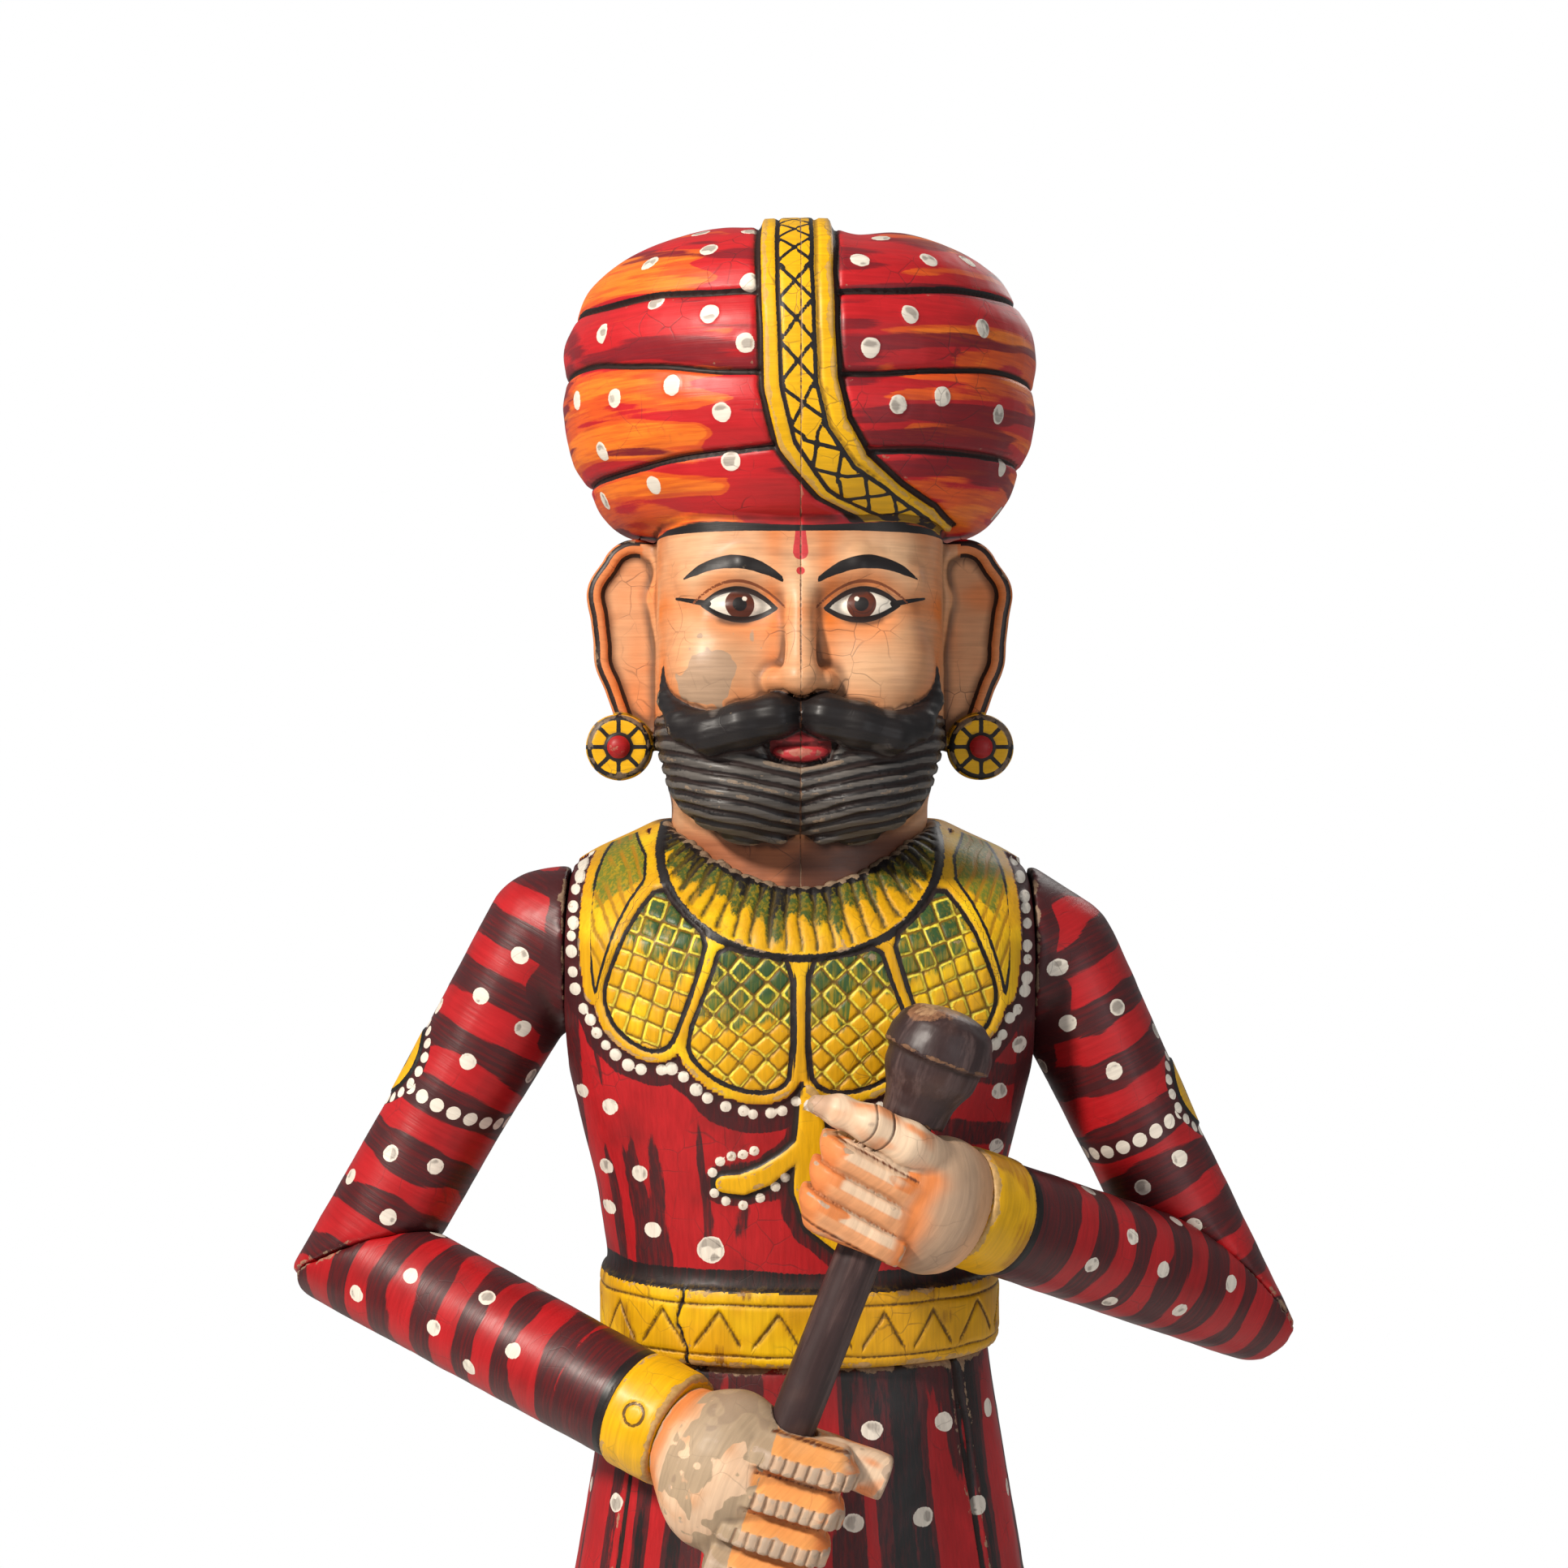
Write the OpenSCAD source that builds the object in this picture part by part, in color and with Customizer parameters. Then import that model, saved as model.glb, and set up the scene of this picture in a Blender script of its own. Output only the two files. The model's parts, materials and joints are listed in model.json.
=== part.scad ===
// Carved and painted wooden guard figure: a turbaned man who holds a mace in front of him with both hands.
// The figure faces -Y, +Z is up, and the origin is the middle of the plinth's underside. Millimetres.
// "Right" and "left" are the figure's own: its right arm is at -X.

/* [Plinth] */
// Width of the plinth, side to side
plinth_w = 310; // [290:5:360]
// Depth of the plinth, front to back
plinth_d = 262; // [256:2:300]
// Height of the plinth
plinth_h = 45; // [38:1:60]

/* [Legs] */
// Distance of each leg from the middle
leg_x = 62; // [58:1:70]
// Radius of a leg where it meets the skirt
leg_top_r = 38; // [32:1:42]
// Radius of a leg at the ankle
ankle_r = 27; // [23:1:30]
// Height of a shoe above the plinth
shoe_h = 44; // [40:1:50]

/* [Skirt] */
// Height of the hem above the ground
hem_z = 250; // [235:1:265]
// Half width of the hem
hem_half_w = 172; // [160:1:185]
// Half depth of the hem
hem_half_d = 140; // [130:1:142]
// Number of pleats round the skirt
pleats = 20; // [14:1:26]
// Depth of a pleat at the hem
pleat_depth = 5; // [2:0.5:7]

/* [Torso] */
// Height of the belt's lower edge above the ground
belt_z = 606; // [600:1:612]
// Height of the belt itself
belt_h = 41; // [34:1:46]
// Half width of the belt
belt_half_w = 109; // [105:1:114]
// Half depth of the belt
belt_half_d = 88; // [84:1:92]
// Distance of each shoulder seam from the middle
seam_x = 127; // [122:1:130]

/* [Head] */
// Radius of the neck
neck_r = 71; // [66:1:74]
// Half width of the face
face_half_w = 78; // [72:1:82]
// Widest radius of the turban
turban_r = 130; // [122:1:136]
// Height of the top of the turban above the ground
turban_top_z = 1213; // [1206:1:1225]
// Radius of an ear-ring
earring_r = 18; // [14:1:20]

/* [Arms] */
// Radius of an upper arm at the shoulder
shoulder_r = 36; // [33:1:38]
// Radius of an upper arm at the elbow
upper_arm_r = 32; // [30:1:34]
// Radius of a forearm at the elbow
forearm_r = 32; // [30:0.5:34]
// Radius of a forearm at the cuff
cuff_r = 29; // [27:0.5:30]

/* [Mace] */
// Radius of the mace's shaft
shaft_r = 12.2; // [11:0.1:13]
// Radial clearance of the shaft in the hands
shaft_gap = 0.7; // [0.4:0.1:1]
// Widest radius of the mace's knob
knob_r = 26.6; // [24:0.2:28]
// Length of the shaft below the upper hand's middle
shaft_below = 290; // [260:1:300]
// Lean of the mace away from upright
mace_lean = 21.33; // [20:0.01:23]

/* [Joinery] */
// Radius of the small dowels in shoulders, elbows and wrists
dowel_r = 6; // [5:0.5:7]
// Radius of the large dowels in the neck, waist and legs
big_dowel_r = 10; // [8:0.5:12]
// Radial glue gap round every dowel
glue_gap = 0.1; // [0.05:0.01:0.2]

/* [Hidden] */

$fn = 48;
ball_fn = 24;
big = 400;
wood = "sienna";
red = "firebrick";
yellow = "gold";
skin = "navajowhite";
dark = "dimgray";

// Joint centres of the arms. The right hand holds the shaft low, and the left hand holds it high.
right_shoulder = [-139.5, 2, 828];
left_shoulder = [141, 2, 816];
right_elbow = [-241, -4, 649];
left_elbow = [229.5, -4, 631.5];
right_wrist = [-61, -112, 579.5];
left_wrist = [77, -126.5, 699.5];
right_elbow_round = 39;
left_elbow_round = 50;

// The mace's axis passes through both fists in the plane y = mace_y.
mace_y = -138;
left_grip = [41.8, mace_y, 708];
grip_step = 163.8;
mace_dir = [sin(mace_lean), 0, cos(mace_lean)];
right_grip = left_grip - grip_step * mace_dir;

// Knob of the mace: radius against height above the left grip's middle.
knob_seat = 37;
knob_top = 96;
tenon_r = 7;
tenon_len = 30;

neck_y = 4;
neck_foot_z = 848;
neck_top_z = 925;
face_foot_z = 884;
face_top_z = 1066;
turban_mid_z = 1131;
turban_foot_z = 1046;
turban_power_up = 2.6;
turban_power_down = 2.4;
turban_drop = 110;
ear_x = 90;
ear_y = -14;
earring_x = 98;
earring_z = 931;
earring_y = -26;
earring_t = 22;

neck_dowel_r = 14;
neck_dowel_z = [800, 905];
head_peg_r = 5;
head_peg_half = 26;
head_peg_z = [960, 1050, 1140];
shoulder_dowel_z = [812, 841];
shoulder_dowel_reach = 24;
waist_dowel_x = 48;
waist_dowel_reach = 34;
leg_dowel_reach = 36;
elbow_dowel_reach = 20;
wrist_dowel_reach = 22;

screw_r = 2.5;
screw_head_r = 5;
screw_head_h = 3;
screw_sink = 1.5;
screw_y = [34, -46];
screw_bite = 16;

// ---------------------------------------------------------------- helpers

function unit(v) = v / norm(v);

// Ring of a superellipse at height z, with half width w, half depth d, its middle at y = cy and a given power.
function ring(z, w, d, cy = 0, power = 2, count = 48) = [
    for (i = [0:count - 1])
        let (t = 360 * i / count)
        [
            w * sign(cos(t)) * pow(abs(cos(t)), 2 / power),
            cy + d * sign(sin(t)) * pow(abs(sin(t)), 2 / power),
            z
        ]
];

// Closed skin over rings of equal length, from the lowest to the highest.
module loft(rings) {
    count = len(rings[0]);
    levels = len(rings);
    sides = [
        for (j = [0:levels - 2], i = [0:count - 1])
            let (k = (i + 1) % count, a = j * count, b = a + count)
            each [[a + i, b + i, b + k], [a + i, b + k, a + k]]
    ];
    floor_cap = [for (i = [0:count - 1]) i];
    top_cap = [for (i = [count - 1:-1:0]) (levels - 1) * count + i];
    polyhedron(points = [for (r = rings) each r], faces = concat([floor_cap], sides, [top_cap]), convexity = 4);
}

// Turns the children's +Z along the direction v.
module along(v) {
    rotate([0, acos(v.z / norm(v)), atan2(v.y, v.x)]) children();
}

module ball(at, r) {
    translate(at) sphere(r = r, $fn = ball_fn);
}

// Round peg or hole from one point to another.
module rod(from, to, r) {
    translate(from) along(to - from) cylinder(r = r, h = norm(to - from));
}

// Everything in front of a plane through a point, in the direction v.
module half_space(at, v) {
    translate(at) along(v) translate([-big / 2, -big / 2, 0]) cube(big);
}

// Places the children in a hand's own frame: +Z up the mace, -Y to the front, +X towards the finger tips.
module in_grip(grip, mirrored) {
    translate(grip) rotate([0, mace_lean, 0]) mirror([mirrored ? 1 : 0, 0, 0]) children();
}

// Direction square to the mitre between an upper arm and a forearm, pointing into the forearm.
function mitre(shoulder, elbow, wrist) = unit(unit(elbow - shoulder) + unit(wrist - elbow));

// ---------------------------------------------------------------- plinth and legs

module screw_places() {
    for (x = [-leg_x, leg_x], y = screw_y) translate([x, y, 0]) children();
}

module screw(gap = 0) {
    top = plinth_h + screw_bite;
    translate([0, 0, screw_sink + screw_head_h]) cylinder(r = screw_r + gap, h = top - screw_sink - screw_head_h);
    translate([0, 0, screw_sink]) cylinder(r1 = screw_head_r + gap, r2 = screw_r + gap, h = screw_head_h);
}

module plinth() {
    chamfer = 4;
    color(dark) difference() {
        loft([
            ring(0, plinth_w / 2, plinth_d / 2, power = 24),
            ring(plinth_h - chamfer, plinth_w / 2, plinth_d / 2, power = 24),
            ring(plinth_h, plinth_w / 2 - chamfer, plinth_d / 2 - chamfer, power = 24)
        ]);
        screw_places() {
            screw(glue_gap);
            translate([0, 0, -1]) cylinder(r = screw_head_r + glue_gap, h = screw_sink + 1);
        }
    }
}

module plinth_screws() {
    color("silver") screw_places() screw();
}

// Trouser leg and pointed shoe, carved in one.
module leg(x) {
    sole = plinth_h;
    color(yellow) difference() {
        translate([x, 0, 0]) union() {
            translate([0, 8, sole + shoe_h / 2]) cylinder(r1 = ankle_r, r2 = leg_top_r, h = hem_z - sole - shoe_h / 2);
            hull() {
                translate([0, 22, sole]) cylinder(r = 27, h = 14, $fn = 32);
                translate([0, -62, sole]) cylinder(r = 29, h = 14, $fn = 32);
                ball([0, 10, sole + shoe_h - 22], 26);
                ball([0, -58, sole + 22], 20);
            }
            hull() {
                ball([0, -64, sole + 20], 19);
                ball([0, -100, sole + 24], 9);
            }
            hull() {
                ball([0, -100, sole + 24], 9);
                ball([0, -114, sole + 42], 4.5);
            }
        }
        translate([x, 8, hem_z - leg_dowel_reach]) cylinder(r = big_dowel_r + glue_gap, h = big);
        screw_places() screw(glue_gap);
        translate([-big, -big, sole - big]) cube([2 * big, 2 * big, big]);
    }
}

module leg_dowels() {
    color(wood) for (x = [-leg_x, leg_x]) translate([x, 8, hem_z - leg_dowel_reach + 1])
        cylinder(r = big_dowel_r, h = 2 * leg_dowel_reach - 2);
}

// ---------------------------------------------------------------- skirt

function skirt_ring(z, w, d, fold, count = 120) = [
    for (p = ring(z, w, d, power = 2.15, count = count))
        let (f = 1 - fold * (1 - cos(pleats * atan2(p.y / d, p.x / w))) / 2 / w)
        [p.x * f, p.y * f, z]
];

module skirt() {
    levels = [
        [0, 0], [0.03, 0.012], [0.35, 0.29], [0.7, 0.66], [0.94, 0.96], [1, 1]
    ];
    top_w = belt_half_w - 5;
    top_d = belt_half_d - 6;
    color(red) difference() {
        loft([
            for (i = [len(levels) - 1:-1:0])
                let (down = levels[i][0], flare = levels[i][1])
                skirt_ring(
                    belt_z - down * (belt_z - hem_z), top_w + flare * (hem_half_w - top_w),
                    top_d + flare * (hem_half_d - top_d), flare * pleat_depth
                )
        ]);
        for (x = [-waist_dowel_x, waist_dowel_x]) translate([x, 0, belt_z - waist_dowel_reach])
            cylinder(r = big_dowel_r + glue_gap, h = big);
        for (x = [-leg_x, leg_x]) translate([x, 8, hem_z - 1]) cylinder(r = big_dowel_r + glue_gap, h = leg_dowel_reach + 1);
    }
}

module waist_dowels() {
    color(wood) for (x = [-waist_dowel_x, waist_dowel_x]) translate([x, 0, belt_z - waist_dowel_reach + 1])
        cylinder(r = big_dowel_r, h = 2 * waist_dowel_reach - 2);
}

// ---------------------------------------------------------------- torso

module torso() {
    belt_top = belt_z + belt_h;
    color(red) difference() {
        intersection() {
            loft([
                ring(belt_z, belt_half_w - 1, belt_half_d - 1, 0, 2.3),
                ring(belt_z + 2, belt_half_w, belt_half_d, 0, 2.3),
                ring(belt_top - 1, belt_half_w, belt_half_d, 0, 2.3),
                ring(belt_top, belt_half_w - 4, belt_half_d - 5, 0, 2.3),
                ring(belt_top + 45, belt_half_w + 3, belt_half_d - 3, 0, 2.4),
                ring(742, seam_x - 3, 91, 0, 2.5),
                ring(782, seam_x + 7, 94, 0, 2.6),
                ring(828, seam_x + 9, 92, 2, 2.7),
                ring(840, seam_x + 8, 87, 5, 2.65),
                ring(850, seam_x + 7, 81, 8, 2.6),
                ring(858, seam_x + 4, 77, 10, 2.5),
                ring(866, seam_x - 2, 73.5, 13.5, 2.4),
                ring(874, seam_x - 15, 71, 17, 2.3),
                ring(883, seam_x - 35, 68, 22, 2.1),
                ring(890, neck_r + 7, 66, 23, 2)
            ]);
            translate([-seam_x, -big / 2, 0]) cube([2 * seam_x, big, 3 * big]);
        }
        translate([0, neck_y, neck_foot_z]) cylinder(r = neck_r + glue_gap, h = big);
        translate([0, neck_y, neck_dowel_z[0]]) cylinder(r = neck_dowel_r + glue_gap, h = big);
        for (x = [-waist_dowel_x, waist_dowel_x]) translate([x, 0, belt_z - 1])
            cylinder(r = big_dowel_r + glue_gap, h = waist_dowel_reach + 1);
        for (s = [-1, 1], z = shoulder_dowel_z)
            rod([s * (seam_x - shoulder_dowel_reach), 2, z], [s * (seam_x + 1), 2, z], dowel_r + glue_gap);
    }
}

module neck_dowel() {
    color(wood) translate([0, neck_y, neck_dowel_z[0] + 1]) cylinder(r = neck_dowel_r, h = neck_dowel_z[1] - neck_dowel_z[0] - 2);
}

// ---------------------------------------------------------------- head

// Half outline of the turban: flat on top, and tucked in below where it meets the brow.
turban_outline = concat(
    [[0, turban_foot_z]],
    [
        for (i = [-11:2:23])
            let (
                t = i * 90 / 23,
                reach = t < 0 ? turban_drop : turban_top_z - turban_mid_z,
                power = t < 0 ? turban_power_down : turban_power_up,
                z = turban_mid_z + reach * sign(t) * pow(abs(sin(t)), 2 / power)
            )
            if (z >= turban_foot_z) [turban_r * pow(abs(cos(t)), 2 / power), z]
    ]
);

module turban() {
    rotate_extrude($fn = 96) polygon([for (p = turban_outline) [max(p.x, 0), p.y]]);
}

module face_block() {
    loft([
        ring(face_foot_z, face_half_w - 24, 64, -14, 2.2, 40),
        ring(face_foot_z + 7, face_half_w - 12, 74, -15, 2.4, 40),
        ring(face_foot_z + 22, face_half_w - 3, 89, -9, 2.6, 40),
        ring(face_foot_z + 48, face_half_w, 95, -6, 2.8, 40),
        ring(1000, face_half_w, 94, -5, 3, 40),
        ring(face_top_z, face_half_w, 92, -3, 3, 40)
    ]);
}

// Broad flat ear and the round ear-ring on its lobe.
module ear(side) {
    hull() {
        translate([side * (ear_x + 3), ear_y, 1020]) rotate([90, 0, 0]) cylinder(r = 24, h = 12, center = true, $fn = 32);
        translate([side * ear_x, ear_y, 985]) rotate([90, 0, 0]) cylinder(r = 24, h = 14, center = true, $fn = 32);
        translate([side * (ear_x - 4), ear_y, 945]) rotate([90, 0, 0]) cylinder(r = 16, h = 14, center = true, $fn = 32);
        translate([side * 66, ear_y + 6, 990]) cube([10, 30, 90], center = true);
    }
    translate([side * earring_x, earring_y, earring_z]) rotate([90, 0, 0]) cylinder(r = earring_r, h = earring_t, center = true);
}

module head_half(side) {
    color(skin) difference() {
        intersection() {
            union() {
                translate([0, neck_y, neck_foot_z]) cylinder(r = neck_r, h = neck_top_z - neck_foot_z);
                face_block();
                turban();
                ear(side);
            }
            translate([side > 0 ? 0 : -big, -big / 2, 0]) cube([big, big, 4 * big]);
        }
        translate([0, neck_y, neck_foot_z - 1]) cylinder(r = neck_dowel_r + glue_gap, h = neck_dowel_z[1] - neck_foot_z + 1);
        for (z = head_peg_z) rod([-head_peg_half, 0, z], [head_peg_half, 0, z], head_peg_r + glue_gap);
    }
}

module head_pegs() {
    color(wood) for (z = head_peg_z) rod([-head_peg_half + 1, 0, z], [head_peg_half - 1, 0, z], head_peg_r);
}

// ---------------------------------------------------------------- arms

module shoulder_dowels() {
    color(wood) for (s = [-1, 1], z = shoulder_dowel_z)
        rod([s * (seam_x - shoulder_dowel_reach + 1), 2, z], [s * (seam_x + shoulder_dowel_reach - 1), 2, z], dowel_r);
}

// Ball round an elbow that trims the mitre's sharp corner.
module elbow_trim(elbow, far, round_r) {
    hull() {
        ball(elbow, round_r);
        ball(far, round_r + 12);
    }
}

module upper_arm(shoulder, elbow, wrist, round_r) {
    side = sign(shoulder.x);
    run = unit(elbow - shoulder);
    cut = mitre(shoulder, elbow, wrist);
    color(red) difference() {
        union() {
            intersection() {
                rod(shoulder, elbow + 60 * run, upper_arm_r);
                elbow_trim(elbow, shoulder, round_r);
            }
            hull() {
                ball(shoulder, shoulder_r);
                ball(shoulder + 120 * run, upper_arm_r);
            }
            hull() {
                ball(shoulder, shoulder_r);
                translate([side * (seam_x + 1), 3, 820]) scale([1, 46, 46]) along([1, 0, 0]) cylinder(r = 1, h = 2, center = true, $fn = 32);
            }
        }
        half_space(elbow, cut);
        half_space([side * seam_x, 0, 820], [-side, 0, 0]);
        for (z = shoulder_dowel_z) rod([side * (seam_x - 1), 2, z], [side * (seam_x + shoulder_dowel_reach), 2, z], dowel_r + glue_gap);
        rod(elbow - elbow_dowel_reach * cut, elbow + 2 * cut, dowel_r + glue_gap);
    }
}

module elbow_dowel(shoulder, elbow, wrist) {
    cut = mitre(shoulder, elbow, wrist);
    reach = elbow_dowel_reach - 1;
    rod(elbow - reach * cut, elbow + reach * cut, dowel_r);
}

module elbow_dowels() {
    color(wood) {
        elbow_dowel(right_shoulder, right_elbow, right_wrist);
        elbow_dowel(left_shoulder, left_elbow, left_wrist);
    }
}

// Forearm with its cuff, from the elbow's mitre to a flat end at the wrist.
module forearm(shoulder, elbow, wrist, round_r) {
    run = unit(wrist - elbow);
    reach = norm(wrist - elbow);
    back = 62;
    cut = mitre(shoulder, elbow, wrist);
    slope = (forearm_r - cuff_r) / reach;
    color(red) difference() {
        intersection() {
            translate(elbow - back * run) along(run) cylinder(r1 = forearm_r + slope * back, r2 = cuff_r, h = reach + back);
            elbow_trim(elbow, wrist, round_r);
        }
        half_space(elbow, -cut);
        rod(elbow - 2 * cut, elbow + elbow_dowel_reach * cut, dowel_r + glue_gap);
        rod(wrist - wrist_dowel_reach * run, wrist + 2 * run, dowel_r + glue_gap);
    }
}

module wrist_dowel(elbow, wrist) {
    run = unit(wrist - elbow);
    rod(wrist - (wrist_dowel_reach - 1) * run, wrist + (wrist_dowel_reach - 6) * run, dowel_r);
}

module wrist_dowels() {
    color(wood) {
        wrist_dowel(right_elbow, right_wrist);
        wrist_dowel(left_elbow, left_wrist);
    }
}

// ---------------------------------------------------------------- hands

// Fist round the shaft. pitch is the finger spacing and r the finger's radius; the thumb lies behind, near the top.
module hand(grip, elbow, wrist, mirrored, pitch, r, thumb_at) {
    run = unit(wrist - elbow);
    color(skin) difference() {
        union() {
            hull() {
                translate(wrist) along(run) cylinder(r = cuff_r - 4, h = 3, $fn = 32);
                in_grip(grip, mirrored) {
                    for (s = [-1, 1]) {
                        ball([-20, -8, s * (2 * pitch - r - 4)], r + 4);
                        ball([-14, 10, s * (2 * pitch - r - 6)], r + 3);
                    }
                }
            }
            in_grip(grip, mirrored) {
                for (i = [-1.5:1:1.5]) hull() {
                    ball([-14, -18, i * pitch], r);
                    ball([20, -19, i * pitch], r);
                    ball([24, 8, i * pitch], r);
                }
                hull() {
                    ball([-8, 14, thumb_at.z - 6], r + 2);
                    ball(thumb_at, r - 1);
                }
            }
        }
        in_grip(grip, mirrored) cylinder(r = shaft_r + shaft_gap, h = big, center = true);
        half_space(wrist, -run);
        rod(wrist - 2 * run, wrist + (wrist_dowel_reach - 5) * run, dowel_r + glue_gap);
    }
}

// ---------------------------------------------------------------- mace

module in_mace() {
    translate(left_grip) rotate([0, mace_lean, 0]) children();
}

module mace_shaft() {
    edge = 3;
    color(dark) in_mace() {
        translate([0, 0, -shaft_below + edge]) cylinder(r = shaft_r, h = shaft_below + knob_seat - edge);
        translate([0, 0, -shaft_below]) cylinder(r1 = shaft_r - edge, r2 = shaft_r, h = edge);
        translate([0, 0, knob_seat]) cylinder(r = tenon_r, h = tenon_len);
    }
}

module mace_knob() {
    neck = 17;
    color(dark) in_mace() rotate_extrude() difference() {
        polygon([
            [0, knob_seat], [neck, knob_seat], [neck, knob_seat + 6], [neck + 1.5, knob_seat + 13],
            [knob_r - 2, knob_seat + 24], [knob_r, knob_seat + 34], [knob_r, knob_seat + 43],
            [knob_r - 2.6, knob_seat + 51], [neck, knob_top - 2.5], [neck / 2, knob_top - 0.5], [0, knob_top]
        ]);
        square([2 * (tenon_r + glue_gap), 2 * (knob_seat + tenon_len + 1)], center = true);
    }
}

// ---------------------------------------------------------------- nodes

plinth();
plinth_screws();
leg(-leg_x);  // right_leg
leg(leg_x);  // left_leg
leg_dowels();
skirt();
waist_dowels();
torso();
neck_dowel();
head_half(-1);  // head_right_half
head_half(1);  // head_left_half
head_pegs();
shoulder_dowels();
upper_arm(right_shoulder, right_elbow, right_wrist, right_elbow_round);  // right_upper_arm
upper_arm(left_shoulder, left_elbow, left_wrist, left_elbow_round);  // left_upper_arm
elbow_dowels();
forearm(right_shoulder, right_elbow, right_wrist, right_elbow_round);  // right_forearm
forearm(left_shoulder, left_elbow, left_wrist, left_elbow_round);  // left_forearm
wrist_dowels();
hand(right_grip, right_elbow, right_wrist, false, 22, 12, [48, 14, 30]);  // right_hand
hand(left_grip, left_elbow, left_wrist, true, 18, 10, [46, 14, 30]);  // left_hand
mace_shaft();
mace_knob();
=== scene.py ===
"""Carved and painted wooden guard figure: its looks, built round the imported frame.

Every piece is one closed carved skin. Lengths are millimetres in the frame's own axes: the figure faces -Y,
+X is its left hand side, and the plinth stands on z = 0. A carved shape is a signed distance that is below
zero inside. A painted mark is a signed distance at each point of a skin that is above zero inside.
"""
from functools import reduce
import json
import math

import bmesh
import bpy
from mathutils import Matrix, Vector
import numpy as np


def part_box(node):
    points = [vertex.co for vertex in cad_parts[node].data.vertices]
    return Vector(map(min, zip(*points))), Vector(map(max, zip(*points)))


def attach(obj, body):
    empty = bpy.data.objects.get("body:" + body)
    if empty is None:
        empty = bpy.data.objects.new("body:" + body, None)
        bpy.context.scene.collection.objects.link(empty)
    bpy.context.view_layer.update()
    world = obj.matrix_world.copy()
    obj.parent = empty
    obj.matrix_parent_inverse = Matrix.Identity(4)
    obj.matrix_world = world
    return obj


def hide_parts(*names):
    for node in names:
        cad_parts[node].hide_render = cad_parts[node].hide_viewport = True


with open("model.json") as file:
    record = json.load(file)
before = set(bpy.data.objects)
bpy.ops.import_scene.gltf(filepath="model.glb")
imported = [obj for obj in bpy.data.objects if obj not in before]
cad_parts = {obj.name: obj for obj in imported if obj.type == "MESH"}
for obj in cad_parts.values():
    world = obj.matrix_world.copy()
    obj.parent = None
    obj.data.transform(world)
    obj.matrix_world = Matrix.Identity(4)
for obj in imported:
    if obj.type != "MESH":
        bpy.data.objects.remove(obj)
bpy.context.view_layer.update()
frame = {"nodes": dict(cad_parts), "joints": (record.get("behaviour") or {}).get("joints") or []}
scene = bpy.context.scene

MM = 0.001
COARSE = 1.0
FAR = 9.0  # a mark's value well inside its area
NEVER = 1e9
SIDE_NAMES = {-1: "right", 1: "left"}

# ---------------------------------------------------------------- places from the frame


def read(items, key, kind=np.float32, width=3):
    """One value of each vertex, edge or triangle, as rows."""
    flat = np.zeros(len(items) * width, kind)
    items.foreach_get(key, flat)
    return flat.reshape(-1, width)


def points_of(piece):
    return read(piece.data.vertices, "co").astype(float) / MM


def normals_of(piece):
    return read(piece.data.vertex_normals, "vector").astype(float)


def corners(*nodes):
    """Lowest and highest corner of these nodes together."""
    boxes = np.array([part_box(node)[:2] for node in nodes])
    return boxes[:, 0].min(0) / MM, boxes[:, 1].max(0) / MM


def middle(node, side):
    """Middle of the part of a node that lies on one side: -1 is the figure's right, 1 its left."""
    p = points_of(frame["nodes"][node])
    return p[p[:, 0] * side > 0].mean(0)


def unit(v):
    return v / np.linalg.norm(v)


HEAD_LOW, HEAD_HIGH = corners("head_right_half", "head_left_half")
CROWN = HEAD_HIGH[2]
NECK_FOOT = CHEST = HEAD_LOW[2]
TURBAN_R = HEAD_HIGH[0]
TURBAN_MID = CROWN - 82
TURBAN_FOOT = CROWN - 167
TURBAN_DROP = 110

SHAFT_LOW, SHAFT_HIGH = corners("mace_shaft")
MACE_DIR = np.array(frame["joints"][0]["axis"], float)
SHAFT_R = (SHAFT_HIGH[1] - SHAFT_LOW[1]) / 2
MACE_FOOT = np.array([SHAFT_LOW[0], (SHAFT_LOW[1] + SHAFT_HIGH[1]) / 2, SHAFT_LOW[2]])
MACE_FOOT = MACE_FOOT + SHAFT_R * np.array([MACE_DIR[2], 0, MACE_DIR[0]])

# ---------------------------------------------------------------- small maths


def least(*values):
    return reduce(np.minimum, values)


def most(*values):
    return reduce(np.maximum, values)


def mix(a, b, t):
    return a + (b - a) * t


def fade(value, low, high):
    """0 below low, 1 above high, and smooth between."""
    t = np.clip((value - low) / (high - low), 0, 1)
    return t * t * (3 - 2 * t)


def bump(value, width):
    """1 where the value is zero, falling off over this width."""
    return np.exp(-(value / width) ** 2)


def only(test):
    """A mark that covers just the points where the test is true."""
    return np.where(test, FAR, -FAR)


def wrapped(turn):
    """The same angle between minus pi and pi."""
    return (turn + math.pi) % (2 * math.pi) - math.pi


def stretched(*columns):
    return np.stack(columns, 1)


def noise(p, size, seed):
    """Smooth value noise in -1..1 at points p, with cells of the given size."""
    q = np.asarray(p, float) / size
    cell = np.floor(q).astype(np.int64)
    t = q - cell
    t = t * t * (3 - 2 * t)
    total = np.zeros(len(q))
    for corner in np.ndindex(*(2,) * q.shape[1]):
        spot = cell + np.array(corner)
        h = np.full(len(q), seed * 7919 + 17, np.int64)
        for k, prime in zip(range(q.shape[1]), (73856093, 19349663, 83492791)):
            h = h ^ (spot[:, k] * prime)
        h = (h ^ (h >> 13)) * 1274126177 & 0xFFFFFFFF
        h = (h ^ (h >> 16)) * 668265263 & 0xFFFFFFFF
        weight = np.prod(np.where(np.array(corner) == 1, t, 1 - t), axis=1)
        total += weight * (h / 2147483648.0 - 1)
    return total


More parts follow.
